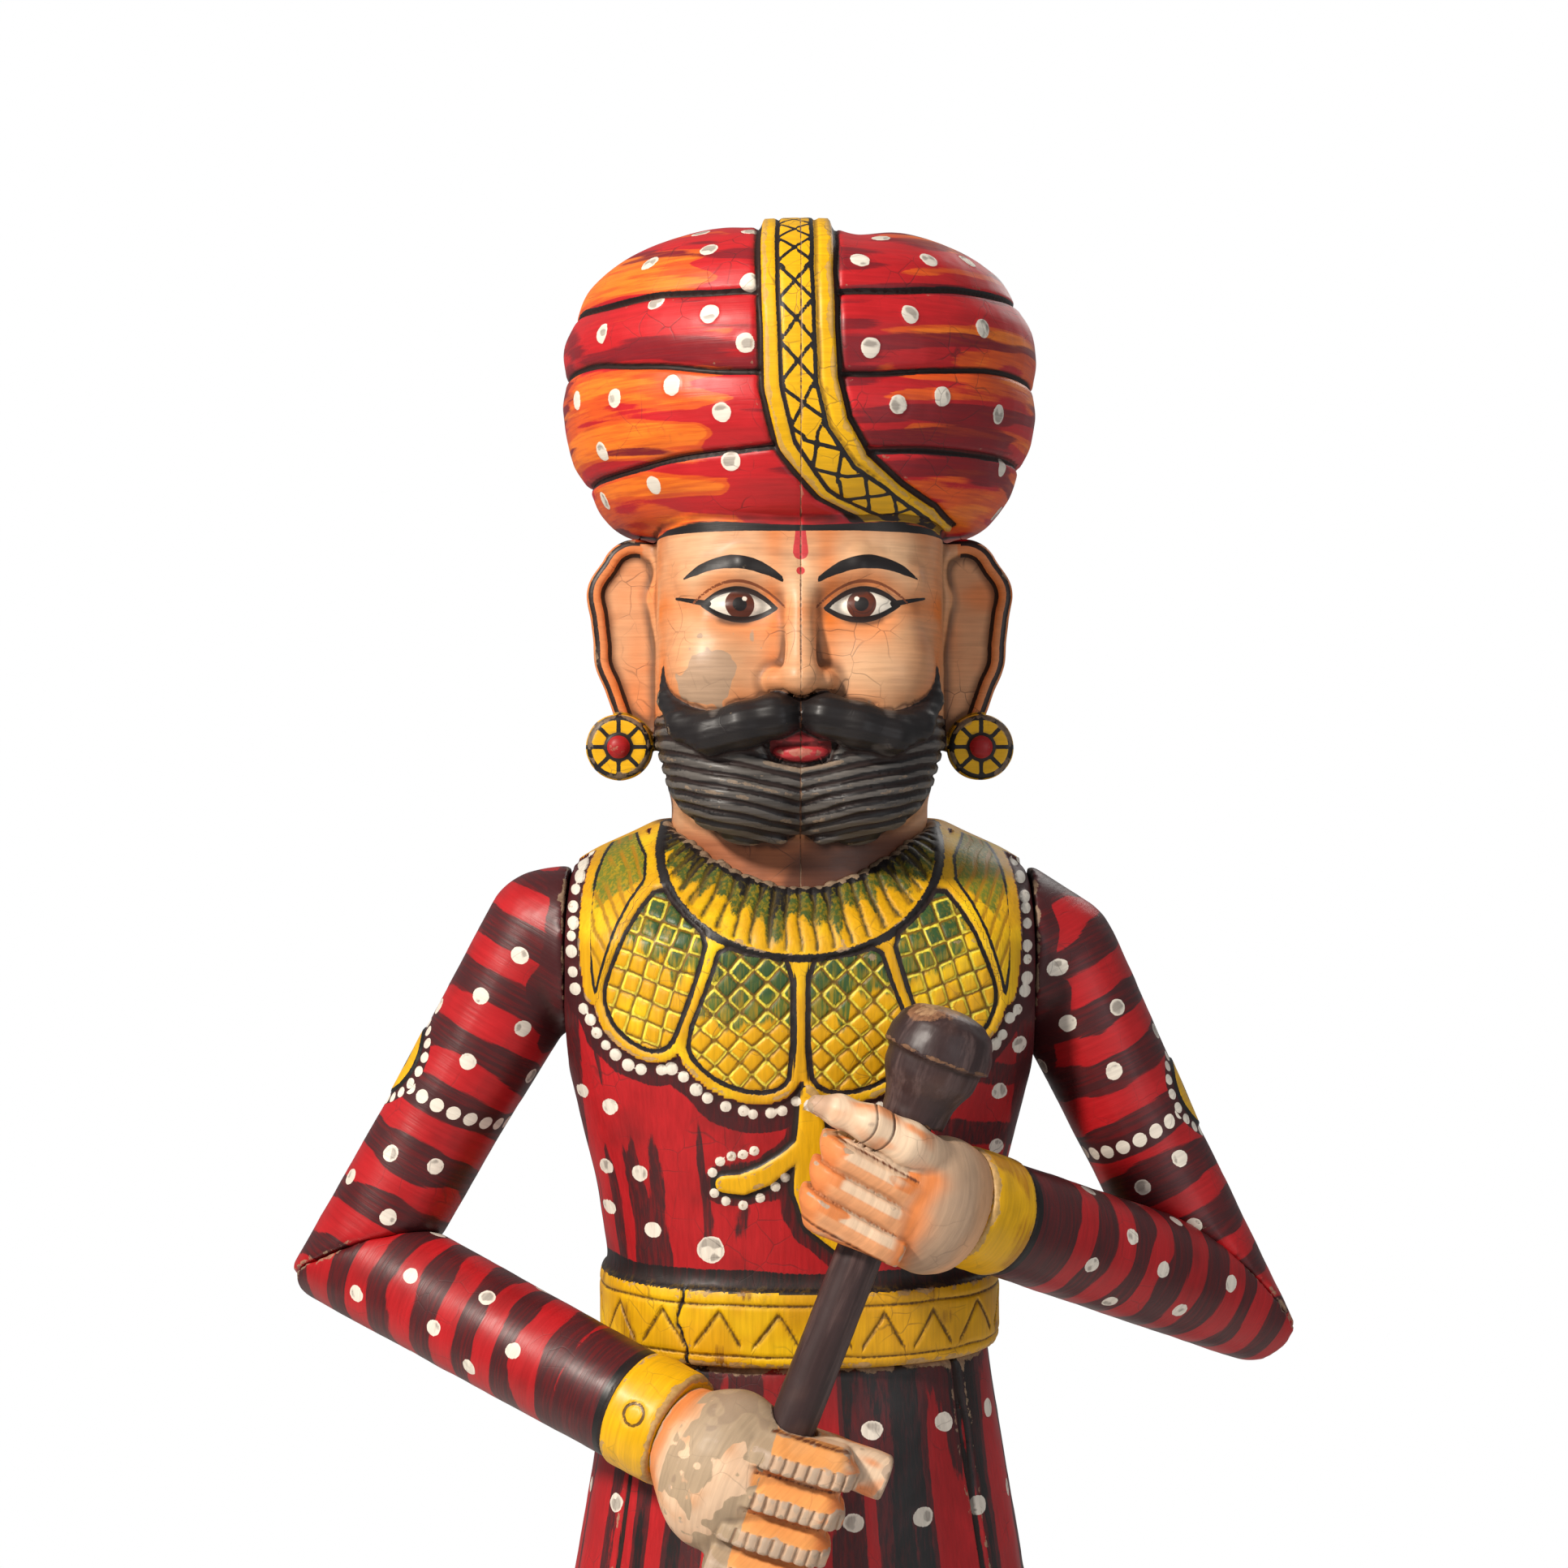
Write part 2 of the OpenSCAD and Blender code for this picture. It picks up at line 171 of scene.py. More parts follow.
def clouds(p, size, seed):
    """Noise with two finer ones on it, about -1 to 1."""
    return sum(noise(p, size / 2**k, seed + k) / 2**k for k in range(3)) / 1.75


def soft_min(a, b, k):
    """The lesser value, with the corner between them rounded over k."""
    h = np.maximum(k - np.abs(a - b), 0) / k
    return np.minimum(a, b) - h * h * k / 4


def soft_max(a, b, k):
    return -soft_min(-a, -b, k)


def egg(p, at, radii):
    q = (p - np.array(at, float)) / np.array(radii, float)
    size = np.linalg.norm(q, axis=1)
    slope = np.linalg.norm(q / np.array(radii, float), axis=1)
    return size * (size - 1) / np.maximum(slope, 1e-6)


def bar(p, a, b, ra, rb):
    """Bar with round ends from a to b, whose radius goes from ra to rb."""
    a, b = np.array(a, float), np.array(b, float)
    t = np.clip((p - a) @ (b - a) / ((b - a) @ (b - a)), 0, 1)
    return np.linalg.norm(p - a - t[:, None] * (b - a), axis=1) - mix(ra, rb, t)


def chain(p, knots, k=2.0):
    """Bars joined end to end. Each knot is a point and its radius."""
    bars = [bar(p, a, b, ra, rb) for (a, ra), (b, rb) in zip(knots, knots[1:])]
    return reduce(lambda one, other: soft_min(one, other, k), bars)


def along_path(p, path, normal=None):
    """Distance to a path, its side, how far along it lies, and the knot number, in 2 or 3 dimensions.
    With a normal at each point, height above the surface doesn't count, and its far parts don't reach.
    """
    best = np.full(len(p), NEVER)
    side, run, knot = np.zeros((3, len(p)))
    start = 0.0
    path = np.array(path, float)
    for i, (a, b) in enumerate(zip(path, path[1:])):
        step = b - a
        length = np.linalg.norm(step)
        t = np.clip((p - a) @ step / length**2, 0, 1)
        gap = p - a - t[:, None] * step
        if normal is not None:
            beyond = np.linalg.norm(gap, axis=1) > 50
            gap = gap - (gap * normal).sum(1)[:, None] * normal
            gap = np.where(beyond[:, None], 99, gap)
        d = np.linalg.norm(gap, axis=1)
        near = d < best
        best = np.where(near, d, best)
        side = np.where(near, np.sign(step[0] * gap[:, -1] - step[-1] * gap[:, 0]), side)
        run = np.where(near, start + t * length, run)
        knot = np.where(near, i + t, knot)
        start += length
    return best, side, run, knot


def swath(p, path, halves):
    """A mark along a path, with its half width at each knot."""
    gap, _, _, knot = along_path(p, path)
    return np.interp(knot, np.arange(len(halves)), halves) - gap


def outline(p, points):
    """A mark inside a closed outline in two dimensions, its corners cut round."""
    points = np.array(points, float)
    after = np.roll(points, -1, axis=0)
    points = np.stack([0.75 * points + 0.25 * after, 0.25 * points + 0.75 * after], 1).reshape(-1, 2)
    best = np.full(len(p), NEVER)
    inside = np.zeros(len(p), bool)
    for a, b in zip(points, np.roll(points, -1, axis=0)):
        step = b - a
        t = np.clip((p - a) @ step / (step @ step), 0, 1)
        best = np.minimum(best, np.linalg.norm(p - a - t[:, None] * step, axis=1))
        if a[1] != b[1]:
            crosses = (a[1] > p[:, 1]) != (b[1] > p[:, 1])
            inside ^= crosses & (p[:, 0] < (b[0] - a[0]) * (p[:, 1] - a[1]) / (b[1] - a[1]) + a[0])
    return np.where(inside, best, -best)


def dots_at(p, dots):
    """A mark inside round dots, each a place and a radius."""
    marks = (r - np.linalg.norm(p - np.array(place, float), axis=1) for place, r in dots)
    return reduce(np.maximum, marks, np.full(len(p), -NEVER))


def stripes(value, pitch):
    """Signed distance to the nearest of many even lines."""
    return np.sin(math.pi * value / pitch) * pitch / math.pi


def either(a, b):
    """Signed distance that passes through zero on both sets of lines."""
    return a * b / np.maximum(most(np.abs(a), np.abs(b)), 1e-6)


def repeat(value, pitch):
    """Distance to the middle between even lines."""
    return np.abs((value / pitch) % 1 - 0.5) * pitch


# ---------------------------------------------------------------- skins


def new_piece(name, points, faces):
    mesh = bpy.data.meshes.new(name)
    mesh.vertices.add(len(points))
    mesh.vertices.foreach_set("co", (points * MM).astype(np.float32).ravel())
    mesh.loops.add(faces.size)
    mesh.loops.foreach_set("vertex_index", faces.astype(np.int32).ravel())
    mesh.polygons.add(len(faces))
    mesh.polygons.foreach_set("loop_start", np.arange(0, faces.size, faces.shape[1], dtype=np.int32))
    mesh.update(calc_edges=True)
    mesh.validate()
    return link(name, mesh)


def link(name, mesh):
    piece = bpy.data.objects.new(name, mesh)
    scene.collection.objects.link(piece)
    return piece


def move(piece, points):
    piece.data.vertices.foreach_set("co", (points * MM).astype(np.float32).ravel())
    piece.data.update()


def push(piece, distance):
    """Moves each point along its normal."""
    move(piece, points_of(piece) + normals_of(piece) * np.asarray(distance)[:, None])


def applied(piece, *modifiers):
    """Adds modifiers, each a kind and its settings, and applies them."""
    for kind, settings in modifiers:
        modifier = piece.modifiers.new(kind.lower(), kind)
        for key, value in settings.items():
            setattr(modifier, key, value)
    bpy.context.view_layer.update()
    done = bpy.data.meshes.new_from_object(piece.evaluated_get(bpy.context.evaluated_depsgraph_get()))
    piece.modifiers.clear()
    piece.data = done
    return piece


SUBDIVIDE = ("SUBSURF", {"levels": 1, "render_levels": 1})


def from_frame(node, voxel, smooth, finer=(SUBDIVIDE,)):
    """Even skin over a CAD node, ready for carving."""
    mesh = frame["nodes"][node].data
    mesh.calc_loop_triangles()
    faces = read(mesh.loop_triangles, "vertices", np.int32)
    piece = new_piece(node + "_carved", points_of(frame["nodes"][node]), faces)
    even = ("REMESH", {"mode": "VOXEL", "voxel_size": voxel * COARSE * MM})
    return applied(piece, even, ("SMOOTH", {"factor": 0.5, "iterations": smooth}), *finer)


def sampled(field, low, counts, step):
    """The field's value at every point of a grid."""
    xs, ys, zs = (low[k] + step * np.arange(counts[k]) for k in range(3))
    value = np.empty(counts)
    for i, x in enumerate(xs):
        sheet = np.stack(np.meshgrid([x], ys, zs, indexing="ij"), -1).reshape(-1, 3)
        value[i] = field(sheet).reshape(counts[1:])
    return value


def mixed_cells(inside):
    """Grid cells that have some corners inside and some outside."""
    total = np.zeros(np.array(inside.shape) - 1, np.int8)
    for d in np.ndindex(2, 2, 2):
        total += inside[tuple(slice(d[k], inside.shape[k] - 1 + d[k]) for k in range(3))]
    return np.argwhere((total > 0) & (total < 8))


def cell_points(value, cells):
    """A point in each cell: the mean of the places where the field crosses zero on the cell's edges."""
    place = np.zeros((len(cells), 3))
    hits = np.zeros(len(cells))
    for d in np.ndindex(2, 2, 2):
        for k in range(3):
            if d[k]:
                continue
            far = tuple(1 if j == k else d[j] for j in range(3))
            va = value[tuple((cells + d).T)]
            vb = value[tuple((cells + far).T)]
            crossed = (va < 0) != (vb < 0)
            t = np.where(crossed, va / np.where(crossed, va - vb, 1), 0)
            point = np.array(d, float) + t[:, None] * (np.array(far) - np.array(d))
            place += point * crossed[:, None]
            hits += crossed
    return cells + place / hits[:, None]


def faces_round(inside, number, k):
    """Faces that join the four numbered cells round each grid edge along axis k that the field crosses."""
    axes = np.eye(3, dtype=int)
    here = [slice(1, -1)] * 3
    here[k] = slice(0, -1)
    there = list(here)
    there[k] = slice(1, None)
    a, b = inside[tuple(here)], inside[tuple(there)]
    edge = np.argwhere(a != b)
    solid = a[tuple(edge.T)]
    edge = edge + 1 - axes[k]
    back_i, back_j = axes[(k + 1) % 3], axes[(k + 2) % 3]
    ring = [edge, edge - back_i, edge - back_i - back_j, edge - back_j]
    quad = np.stack([number[tuple(c.T)] for c in ring], 1)
    return np.where(solid[:, None], quad, quad[:, ::-1])


def from_field(name, field, low, high, voxel):
    """Closed skin where field(points) is zero: surface nets on a grid, then one subdivision."""
    step = voxel * COARSE
    low = np.array(low, float)
    counts = np.ceil((np.array(high, float) - low) / step).astype(int) + 1
    value = sampled(field, low, counts, step)
    inside = value < 0
    cells = mixed_cells(inside)
    number = np.full(counts - 1, -1)
    number[tuple(cells.T)] = np.arange(len(cells))
    faces = np.concatenate([faces_round(inside, number, k) for k in range(3)])
    piece = applied(new_piece(name, low + step * cell_points(value, cells), faces), SUBDIVIDE)
    p = points_of(piece)
    for _ in range(2):
        p = onto(field, p, step / 2)
    move(piece, p)
    return piece


def onto(field, p, limit):
    """Moves points on to field = 0, by no more than the limit."""
    value = field(p)
    reach = 0.3
    slope = np.stack([field(p + reach * axis) - value for axis in np.eye(3)], 1) / reach
    shift = -slope * (value / np.maximum((slope**2).sum(1), 0.1))[:, None]
    length = np.linalg.norm(shift, axis=1)
    return p + shift * np.minimum(1, limit / np.maximum(length, 1e-6))[:, None]


def spread(values, pairs, rounds):
    """Mean over the neighbours, a few times over."""
    a, b = pairs.T
    count = len(values)
    degree = np.maximum(np.bincount(a, minlength=count) + np.bincount(b, minlength=count), 1)
    for _ in range(rounds):
        values = (np.bincount(a, values[b], count) + np.bincount(b, values[a], count)) / degree
    return values


def hollowness(piece, rounds=7):
    """How hollow the surface is at each point: above zero in grooves, below zero on edges.
    Rounds go down with the square of the mesh's step, so a coarse mesh gives much the same."""
    rounds = max(3, round(rounds / COARSE**2))
    pairs = read(piece.data.edges, "vertices", np.int32, 2)
    p, n = points_of(piece), normals_of(piece)
    around = np.stack([spread(p[:, k], pairs, rounds) for k in range(3)], 1)
    return spread(((around - p) * n).sum(1), pairs, 1)


def cut_at_middle(piece, side):
    """The half on one side of x = 0, closed with a flat face."""
    work = bmesh.new()
    work.from_mesh(piece.data)
    everything = work.verts[:] + work.edges[:] + work.faces[:]
    cut = bmesh.ops.bisect_plane(
        work, geom=everything, dist=1e-6, plane_co=(0, 0, 0), plane_no=(-side, 0, 0), clear_outer=True
    )
    rim = [e for e in cut["geom_cut"] if isinstance(e, bmesh.types.BMEdge)]
    bmesh.ops.contextual_create(work, geom=rim)
    bmesh.ops.recalc_face_normals(work, faces=work.faces[:])
    mesh = bpy.data.meshes.new(piece.name)
    work.to_mesh(mesh)
    work.free()
    return mesh


# ---------------------------------------------------------------- paint


def rgb(colour):
    """Linear colour of a hex code. A colour that is linear already stays as it is."""
    if not isinstance(colour, str):
        return colour
    parts = [int(colour[k:k + 2], 16) / 255 for k in (0, 2, 4)]
    return np.array([c / 12.92 if c <= 0.04045 else ((c + 0.055) / 1.055) ** 2.4 for c in parts])


RED, CRIMSON, MAROON, LIP = rgb("A01519"), rgb("C01B22"), rgb("441A1D"), rgb("C43A3F")
YELLOW, PALE_YELLOW, OCHRE = rgb("E9B003"), rgb("F3C90E"), rgb("B97F08")
ORANGE, GREEN, BLACK, WHITE = rgb("E0581A"), rgb("3F5A2A"), rgb("1C1819"), rgb("E9E0D2")
SKIN, CREAM, BLUSH = rgb("D5A076"), rgb("E2B68D"), rgb("DF772E")
BROWN, BARE, WOOD, MACE, SCORED = rgb("5A2A1C"), rgb("B09478"), rgb("9A7650"), rgb("3B2A2A"), rgb("6B4A0C")


def coat(base, *tints):
    """Colour at each point: base, then each tint, a colour and its share at each point."""
    colour = rgb(base)
    for tint, share in tints:
        colour = mix(colour, rgb(tint), np.clip(share, 0, 1)[:, None])
    return colour


def layer(mark, colour, ragged, soft=0.12, thin=0.0):
    """A coat of paint over what is below it, inside a mark.
    ragged is how far a brush stroke wanders at its edge, and thin is how much shows through it."""
    return dict(mark=mark, colour=rgb(colour), ragged=ragged, soft=soft, thin=thin, half=0.0, cut=0.0)


def line(signed, half, colour, within, ragged, soft=0.15, thin=0.0, cut=0.0):
    """A painted line of this half width where the signed distance passes through zero, inside another mark.
    cut is how deep it is scored."""
    return layer(signed, colour, ragged, soft, thin) | dict(half=half, within=within + 0 * signed, cut=cut)


def dot_coats(p, dots):
    """White paint dots with uneven edges, and a thinner grey blotch inside."""
    blotch = least(dots - 1.0, 5 * noise(p, 4.5, 142) - 1.0)
    return [
        layer(dots + 0.5 * noise(p, 5, 141), WHITE, 0.35),
        layer(blotch, "A39A90", 0.6, 0.5, 0.45),
    ]


class Nodes:
    """Short way to write a material's nodes."""

    def __init__(self, name):
        self.material = bpy.data.materials.new(name)
        self.material.use_nodes = True
        self.tree = self.material.node_tree
        self.shader = self.tree.nodes["Principled BSDF"]
        self.place = self.add("ShaderNodeTexCoord", {}, "Object")

    def add(self, kind, inputs, out=0, **settings):
        node = self.tree.nodes.new(kind)
        for key, value in settings.items():
            setattr(node, key, value)
        for key, value in inputs.items():
            self.put(node.inputs[key], value)
        return node.outputs[out]

    def put(self, socket, value):
        if isinstance(value, bpy.types.NodeSocket):
            self.tree.links.new(value, socket)
        else:
            socket.default_value = value

    def look(self, **sockets):
        """Sets the shader's own sockets, named with _ for each space."""
        for key, value in sockets.items():
            self.put(self.shader.inputs[key.replace("_", " ")], value)

    def maths(self, operation, a, b=0.0, c=0.0):
        return self.add("ShaderNodeMath", {0: a, 1: b, 2: c}, operation=operation)

    def times(self, a, b):
        return self.maths("MULTIPLY", a, b)

    def minus(self, a, b):
        return self.maths("SUBTRACT", a, b)

    def attribute(self, name, out="Fac"):
        return self.add("ShaderNodeAttribute", {}, out, attribute_name=name)

    def noise(self, vector, scale, detail=2.0, rough=0.5):
        inputs = {"Vector": vector, "Scale": scale, "Detail": detail, "Roughness": rough}
        return self.add("ShaderNodeTexNoise", inputs)

    def ramp(self, value, low, high, to_low=0.0, to_high=1.0):
        return self.add("ShaderNodeMapRange", {0: value, 1: low, 2: high, 3: to_low, 4: to_high}, clamp=True)

    def blend(self, share, a, b, how="MIX"):
        return self.add("ShaderNodeMix", {0: share, 6: a, 7: b}, 2, data_type="RGBA", blend_type=how)

    def bump(self, strength, distance, height):
        return self.add("ShaderNodeBump", {"Strength": strength, "Distance": distance, "Height": height})


def whole(colour):
    """A colour for a socket, with its alpha."""
    return (*[float(c) for c in rgb(colour)], 1.0)


def paint_layers(s, layers, colour, brush, fine):
    """Blends each layer over the colour below it. Gives the colour, and how deep the surface is scored."""
    scored = 0.0
    for k, one in enumerate(layers):
        value = s.attribute(f"layer_{k}")
        if one["half"]:
            value = s.minus(one["half"], s.maths("ABSOLUTE", value))
            value = s.maths("MINIMUM", value, s.attribute(f"within_{k}"))
        wander = s.times(s.minus(brush, 0.5), 3.2 * one["ragged"])
        grain = s.times(s.minus(fine, 0.5), 0.9 * min(one["ragged"], 0.5))
        value = s.maths("ADD", value, s.maths("ADD", wander, grain))
        share = s.ramp(value, -one["soft"], one["soft"])
        if one["thin"]:
            share = s.times(share, s.ramp(brush, 0.36, 0.56, 1.0 - one["thin"], 1.0))
        colour = s.blend(share, colour, whole(one["colour"]))
        if one["cut"]:
            scored = s.maths("MAXIMUM", s.times(s.ramp(value, -0.7, 0.3), one["cut"]), scored)
    return colour, scored


def fine_cracks(s, cloud):
    bend = s.add("ShaderNodeTexNoise", {"Vector": s.place, "Scale": 40.0}, 1)
    bent = s.add("ShaderNodeMix", {0: 0.012, 4: s.place, 5: bend}, 1, data_type="VECTOR")
    cell = s.add("ShaderNodeTexVoronoi", {"Vector": bent, "Scale": 62.0}, 0, feature="DISTANCE_TO_EDGE")
    return s.times(s.ramp(cell, 0.0, 0.022, 1.0, 0.0), s.ramp(cloud, 0.5, 0.62))


# The last setting is how much darker brown goes into the hollows.
def painted(name, layers, rough, chips, crackle, chip_colour=BARE, streaks=0.3, darkening=0.72):
    """Brushed paint on carved wood: a ground coat, its layers, darker brown in the hollows and wear on the
    edges.
    """
    s = Nodes(name)
    hollow = s.attribute("hollow")
    brush = s.noise(s.attribute("stroke", "Vector"), 0.55, 4.0, 0.6)
    fine = s.noise(s.place, 420.0, 2.0)
    cloud = s.noise(s.place, 26.0, 3.0)
    colour, scored = paint_layers(s, layers, s.attribute("coat", "Color"), brush, fine)
    # Uneven paint: streaks along the brush, and broad clouds
    tone = s.ramp(brush, 0.3, 0.7, 1.0 - streaks * 0.5, 1.0 + streaks * 0.35)
    tone = s.times(tone, s.ramp(cloud, 0.3, 0.7, 0.88, 1.1))
    colour = s.blend(1.0, colour, s.add("ShaderNodeCombineColor", {0: tone, 1: tone, 2: tone}), "MULTIPLY")
    crack = s.times(fine_cracks(s, cloud), crackle)
    colour = s.blend(crack, colour, whole(BLACK * 1.6))
    # Worn edges and small chips
    speckle = s.times(s.minus(s.noise(s.place, 95.0, 5.0, 0.65), 0.5), 2.0)
    wear = s.maths("MULTIPLY_ADD", hollow, -1.4, speckle)
    worn = s.times(s.ramp(wear, 0.86 - 0.35 * chips, 0.93 - 0.35 * chips), min(1.0, chips * 1.6))
    chip = s.blend(s.ramp(fine, 0.35, 0.65), whole(chip_colour), whole(rgb(chip_colour) * 0.62))
    colour = s.blend(worn, colour, chip)
    # Darker brown in the hollows, and a little rougher there
    hollow_dark = s.times(s.ramp(s.maths("MULTIPLY_ADD", cloud, 0.12, hollow), 0.1, 0.5), darkening)
    colour = s.blend(hollow_dark, colour, whole("2A1712"))
    matt = s.ramp(cloud, 0.3, 0.7, rough - 0.07, rough + 0.09)
    matt = s.maths("MULTIPLY_ADD", s.maths("ADD", worn, hollow_dark), 0.25, matt)
    height = s.maths("MULTIPLY_ADD", brush, 0.5, s.times(fine, 0.12))
    height = s.minus(height, s.times(s.maths("ADD", crack, worn), 0.45))
    height = s.minus(height, scored)
    s.look(Base_Color=colour, Roughness=s.maths("MULTIPLY_ADD", brush, 0.12, matt), Specular_IOR_Level=0.36,
           Coat_Weight=0.05, Coat_Roughness=0.28, Normal=s.bump(0.55, 0.0005, height))
    return s.material


def finish(piece, node, slot, colour, layers, stroke, body="figure", **looks):
    """Stores a piece's paint on its points, gives it its material, and puts it on its body for a CAD node."""
    mesh = piece.data
    p = points_of(piece)
    ground = mesh.attributes.new("coat", "FLOAT_COLOR", "POINT")
    ground.data.foreach_set("color", np.hstack([colour, np.ones((len(p), 1))]).astype(np.float32).ravel())
    brush = mesh.attributes.new("stroke", "FLOAT_VECTOR", "POINT")
    brush.data.foreach_set("vector", stroke(p).astype(np.float32).ravel())
    values = {"hollow": hollowness(piece)}
    values.update({f"layer_{k}": one["mark"] for k, one in enumerate(layers)})
    values.update({f"within_{k}": one["within"] for k, one in enumerate(layers) if one["half"]})
    for key, value in values.items():
        mesh.attributes.new(key, "FLOAT", "POINT").data.foreach_set("value", value.astype(np.float32))
    mesh.materials.clear()
    mesh.materials.append(painted(piece.name + "_paint", layers, **looks))
    mesh.shade_smooth()
    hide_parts(node)
    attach(piece, body)


def upright_strokes(p):
    return p * np.array([1.0, 1.0, 0.06])


def level_strokes(p):
    return p * np.array([0.05, 0.05, 1.0])


def sideways_strokes(p):
    return p * np.array([0.05, 1.0, 1.0])


def cross_strokes(axis):
    """Strokes that run round a limb along the given axis."""
    return lambda p: p * 0.06 + np.outer((p @ axis) * 0.94, axis)


# ---------------------------------------------------------------- camera, light and floor


def stand_camera():
    data = bpy.data.cameras.new("camera")
    data.sensor_width = 36
    data.lens = 59.63
    camera = link("camera", data)
    camera.location = (-0.0086, -1.44, 0.911)
    camera.rotation_euler = (math.radians(90), 0, 0)
    scene.camera = camera


def lamp(name, at, target, size, power, colour):
    data = bpy.data.lights.new(name, "AREA")
    data.shape = "DISK"
    data.size = size
    data.energy = power
    data.color = colour
    light = link(name, data)
    light.location = at
    light.rotation_euler = (Vector(target) - Vector(at)).to_track_quat("-Z", "Y").to_euler()


def light_room():
    """Three soft lamps and a white room, which the camera sees brighter than it shines."""
    world = bpy.data.worlds.new("studio")
    scene.world = world
    world.use_nodes = True
    tree = world.node_tree
    back = tree.nodes["Background"]
    back.inputs["Color"].default_value = (1, 1, 1, 1)
    path = tree.nodes.new("ShaderNodeLightPath")
    glow = tree.nodes.new("ShaderNodeMapRange")
    tree.links.new(path.outputs["Is Camera Ray"], glow.inputs[0])
    glow.inputs[3].default_value = 0.26
    glow.inputs[4].default_value = 1.0
    tree.links.new(glow.outputs[0], back.inputs["Strength"])
    lamp("key", (-1.45, -1.6, 2.15), (0, 0, 0.85), 0.3, 78, (1.0, 0.93, 0.84))
    lamp("fill", (1.2, -1.6, 1.0), (0, 0, 0.8), 1.2, 6, (0.95, 0.97, 1.0))
    lamp("rim", (0.9, 1.5, 2.0), (0, 0, 0.9), 0.8, 6, (1.0, 0.97, 0.93))
    scene.view_settings.view_transform = "Standard"


def lay_floor():
    turns = np.linspace(0, 2 * math.pi, 96, endpoint=False)
    rim = 1300 * np.stack([np.cos(turns), np.sin(turns), 0 * turns], 1)
    floor = new_piece("floor", rim, np.arange(96).reshape(1, 96))
    s = Nodes("floor_paint")
    pale = s.blend(s.noise(s.place, 3.0), (0.8, 0.79, 0.78, 1), (0.84, 0.83, 0.82, 1))
    s.look(Base_Color=pale, Roughness=0.8)
    floor.data.materials.append(s.material)


stand_camera()
light_room()
lay_floor()


# ---------------------------------------------------------------- head

FACE_W = 78  # half width
FACE_D = 94  # half depth
FACE_Y = -5
FACE_FOOT = NECK_FOOT + 36
NECK_R = 71
NECK_Y = 4
EYE_X = 32
EYE_Z = NECK_FOOT + 155
NOSE_Z = NECK_FOOT + 110
LIP_Z = NECK_FOOT + 84
EAR_Y = -14
RING_AT = np.array([98, -26, NECK_FOOT + 83])
RING_R = 18
BAND_EDGE = 9.5  # from the band's middle to its raised borders
TURBAN_DOT = 5.2  # radius


def folded(p):
    """The same points with the left side folded on to the right."""
    return p * [0, 1, 1] + np.abs(p) * [1, 0, 0]


def turban_body(p):
    x, y, z = p.T
    lift = z - TURBAN_MID
    above = lift > 0
    power = np.where(above, 2.6, 2.4)
    reach = np.where(above, CROWN - TURBAN_MID, TURBAN_DROP)
    size = ((np.hypot(x, y) / TURBAN_R) ** power + (np.abs(lift) / reach) ** power) ** (1 / power)
    return soft_max((size - 1) * np.where(above, 100, 115), TURBAN_FOOT - z, 10)


def face_block(p):
    """The head's plain block: half width, half depth and middle for each height above the chin."""
    x, y, z = p.T
    up = z - FACE_FOOT
    w = FACE_W - np.interp(up, [0, 6, 13, 24, 48], [36, 24, 15, 7, 0])
    levels = [0, 7, 22, 48, 116, 200]
    d = np.interp(up, levels, [64, 74, 89, 95, 94, 92])
    centre = np.interp(up, levels, [-14, -15, -9, -6, -5, -3])
    size = ((np.abs(x) / w) ** 3.2 + (np.abs(y - centre) / d) ** 3.2) ** (1 / 3.2)
    return soft_max(most((size - 1) * w, z - TURBAN_FOOT - 24), -up, 6)


def on_face(x, z, out, r):
    """A knot of a chain that stands out from the face's front."""
    front = FACE_Y - FACE_D * (1 - np.clip(np.abs(x) / FACE_W, 0, 0.999) ** 3.2) ** (1 / 3.2)
    return (x, float(front) - out, z), r


def moustache(p):
    """Thick in the middle, with ends that turn up."""
    shape = [
        (0, 15, 4, 7.5), (13, 14, 10, 11.5), (30, 9, 11, 12), (46, 5, 10, 11), (61, 10, 9, 8.5),
        (69, 23, 5, 6), (71.5, 39, 1, 2)
    ]
    return chain(p, [on_face(x, LIP_Z + z, out, r) for x, z, out, r in shape], 3)


def beard(p):
    """A thick sheet over the lower face, in two lobes that part at the chin."""
    x, y, z = p.T
    edge = z - (LIP_Z + 8 + 0.1 * np.abs(x))
    sheet = face_block(p) - mix(0.9, 5.5, fade(-y, 52, 84))
    sheet = soft_min(sheet, egg(p, (31, -74, FACE_FOOT + 22), (30, 33, 24)), 8)
    sheet = sheet + 5.5 * bump(x, 6) * fade(FACE_FOOT + 36 - z, 0, 30)
    sheet = soft_max(soft_max(sheet, edge, 6), y - 4, 8)
    return soft_max(sheet, -egg(p, (0, -106, LIP_Z - 2), (19, 13, 9)), 3)


def mouth(p):
    upper = egg(p, (0, -97, LIP_Z + 2.4), (18, 10, 5.2))
    lower = egg(p, (0, -97.5, LIP_Z - 4.8), (15.5, 11.5, 5.6))
    return soft_min(upper, lower, 0.8)


def nose(p):
    ridge = bar(p, (0, -97, EYE_Z + 10), (0, -109, NOSE_Z + 10), 6, 8.5)
    tip = egg(p, (0, -109, NOSE_Z + 7), (10, 11, 8.5))
    wing = egg(p, (11, -102, NOSE_Z + 6), (7.5, 9, 6.5))
    return soft_min(soft_min(ridge, tip, 5), wing, 4)


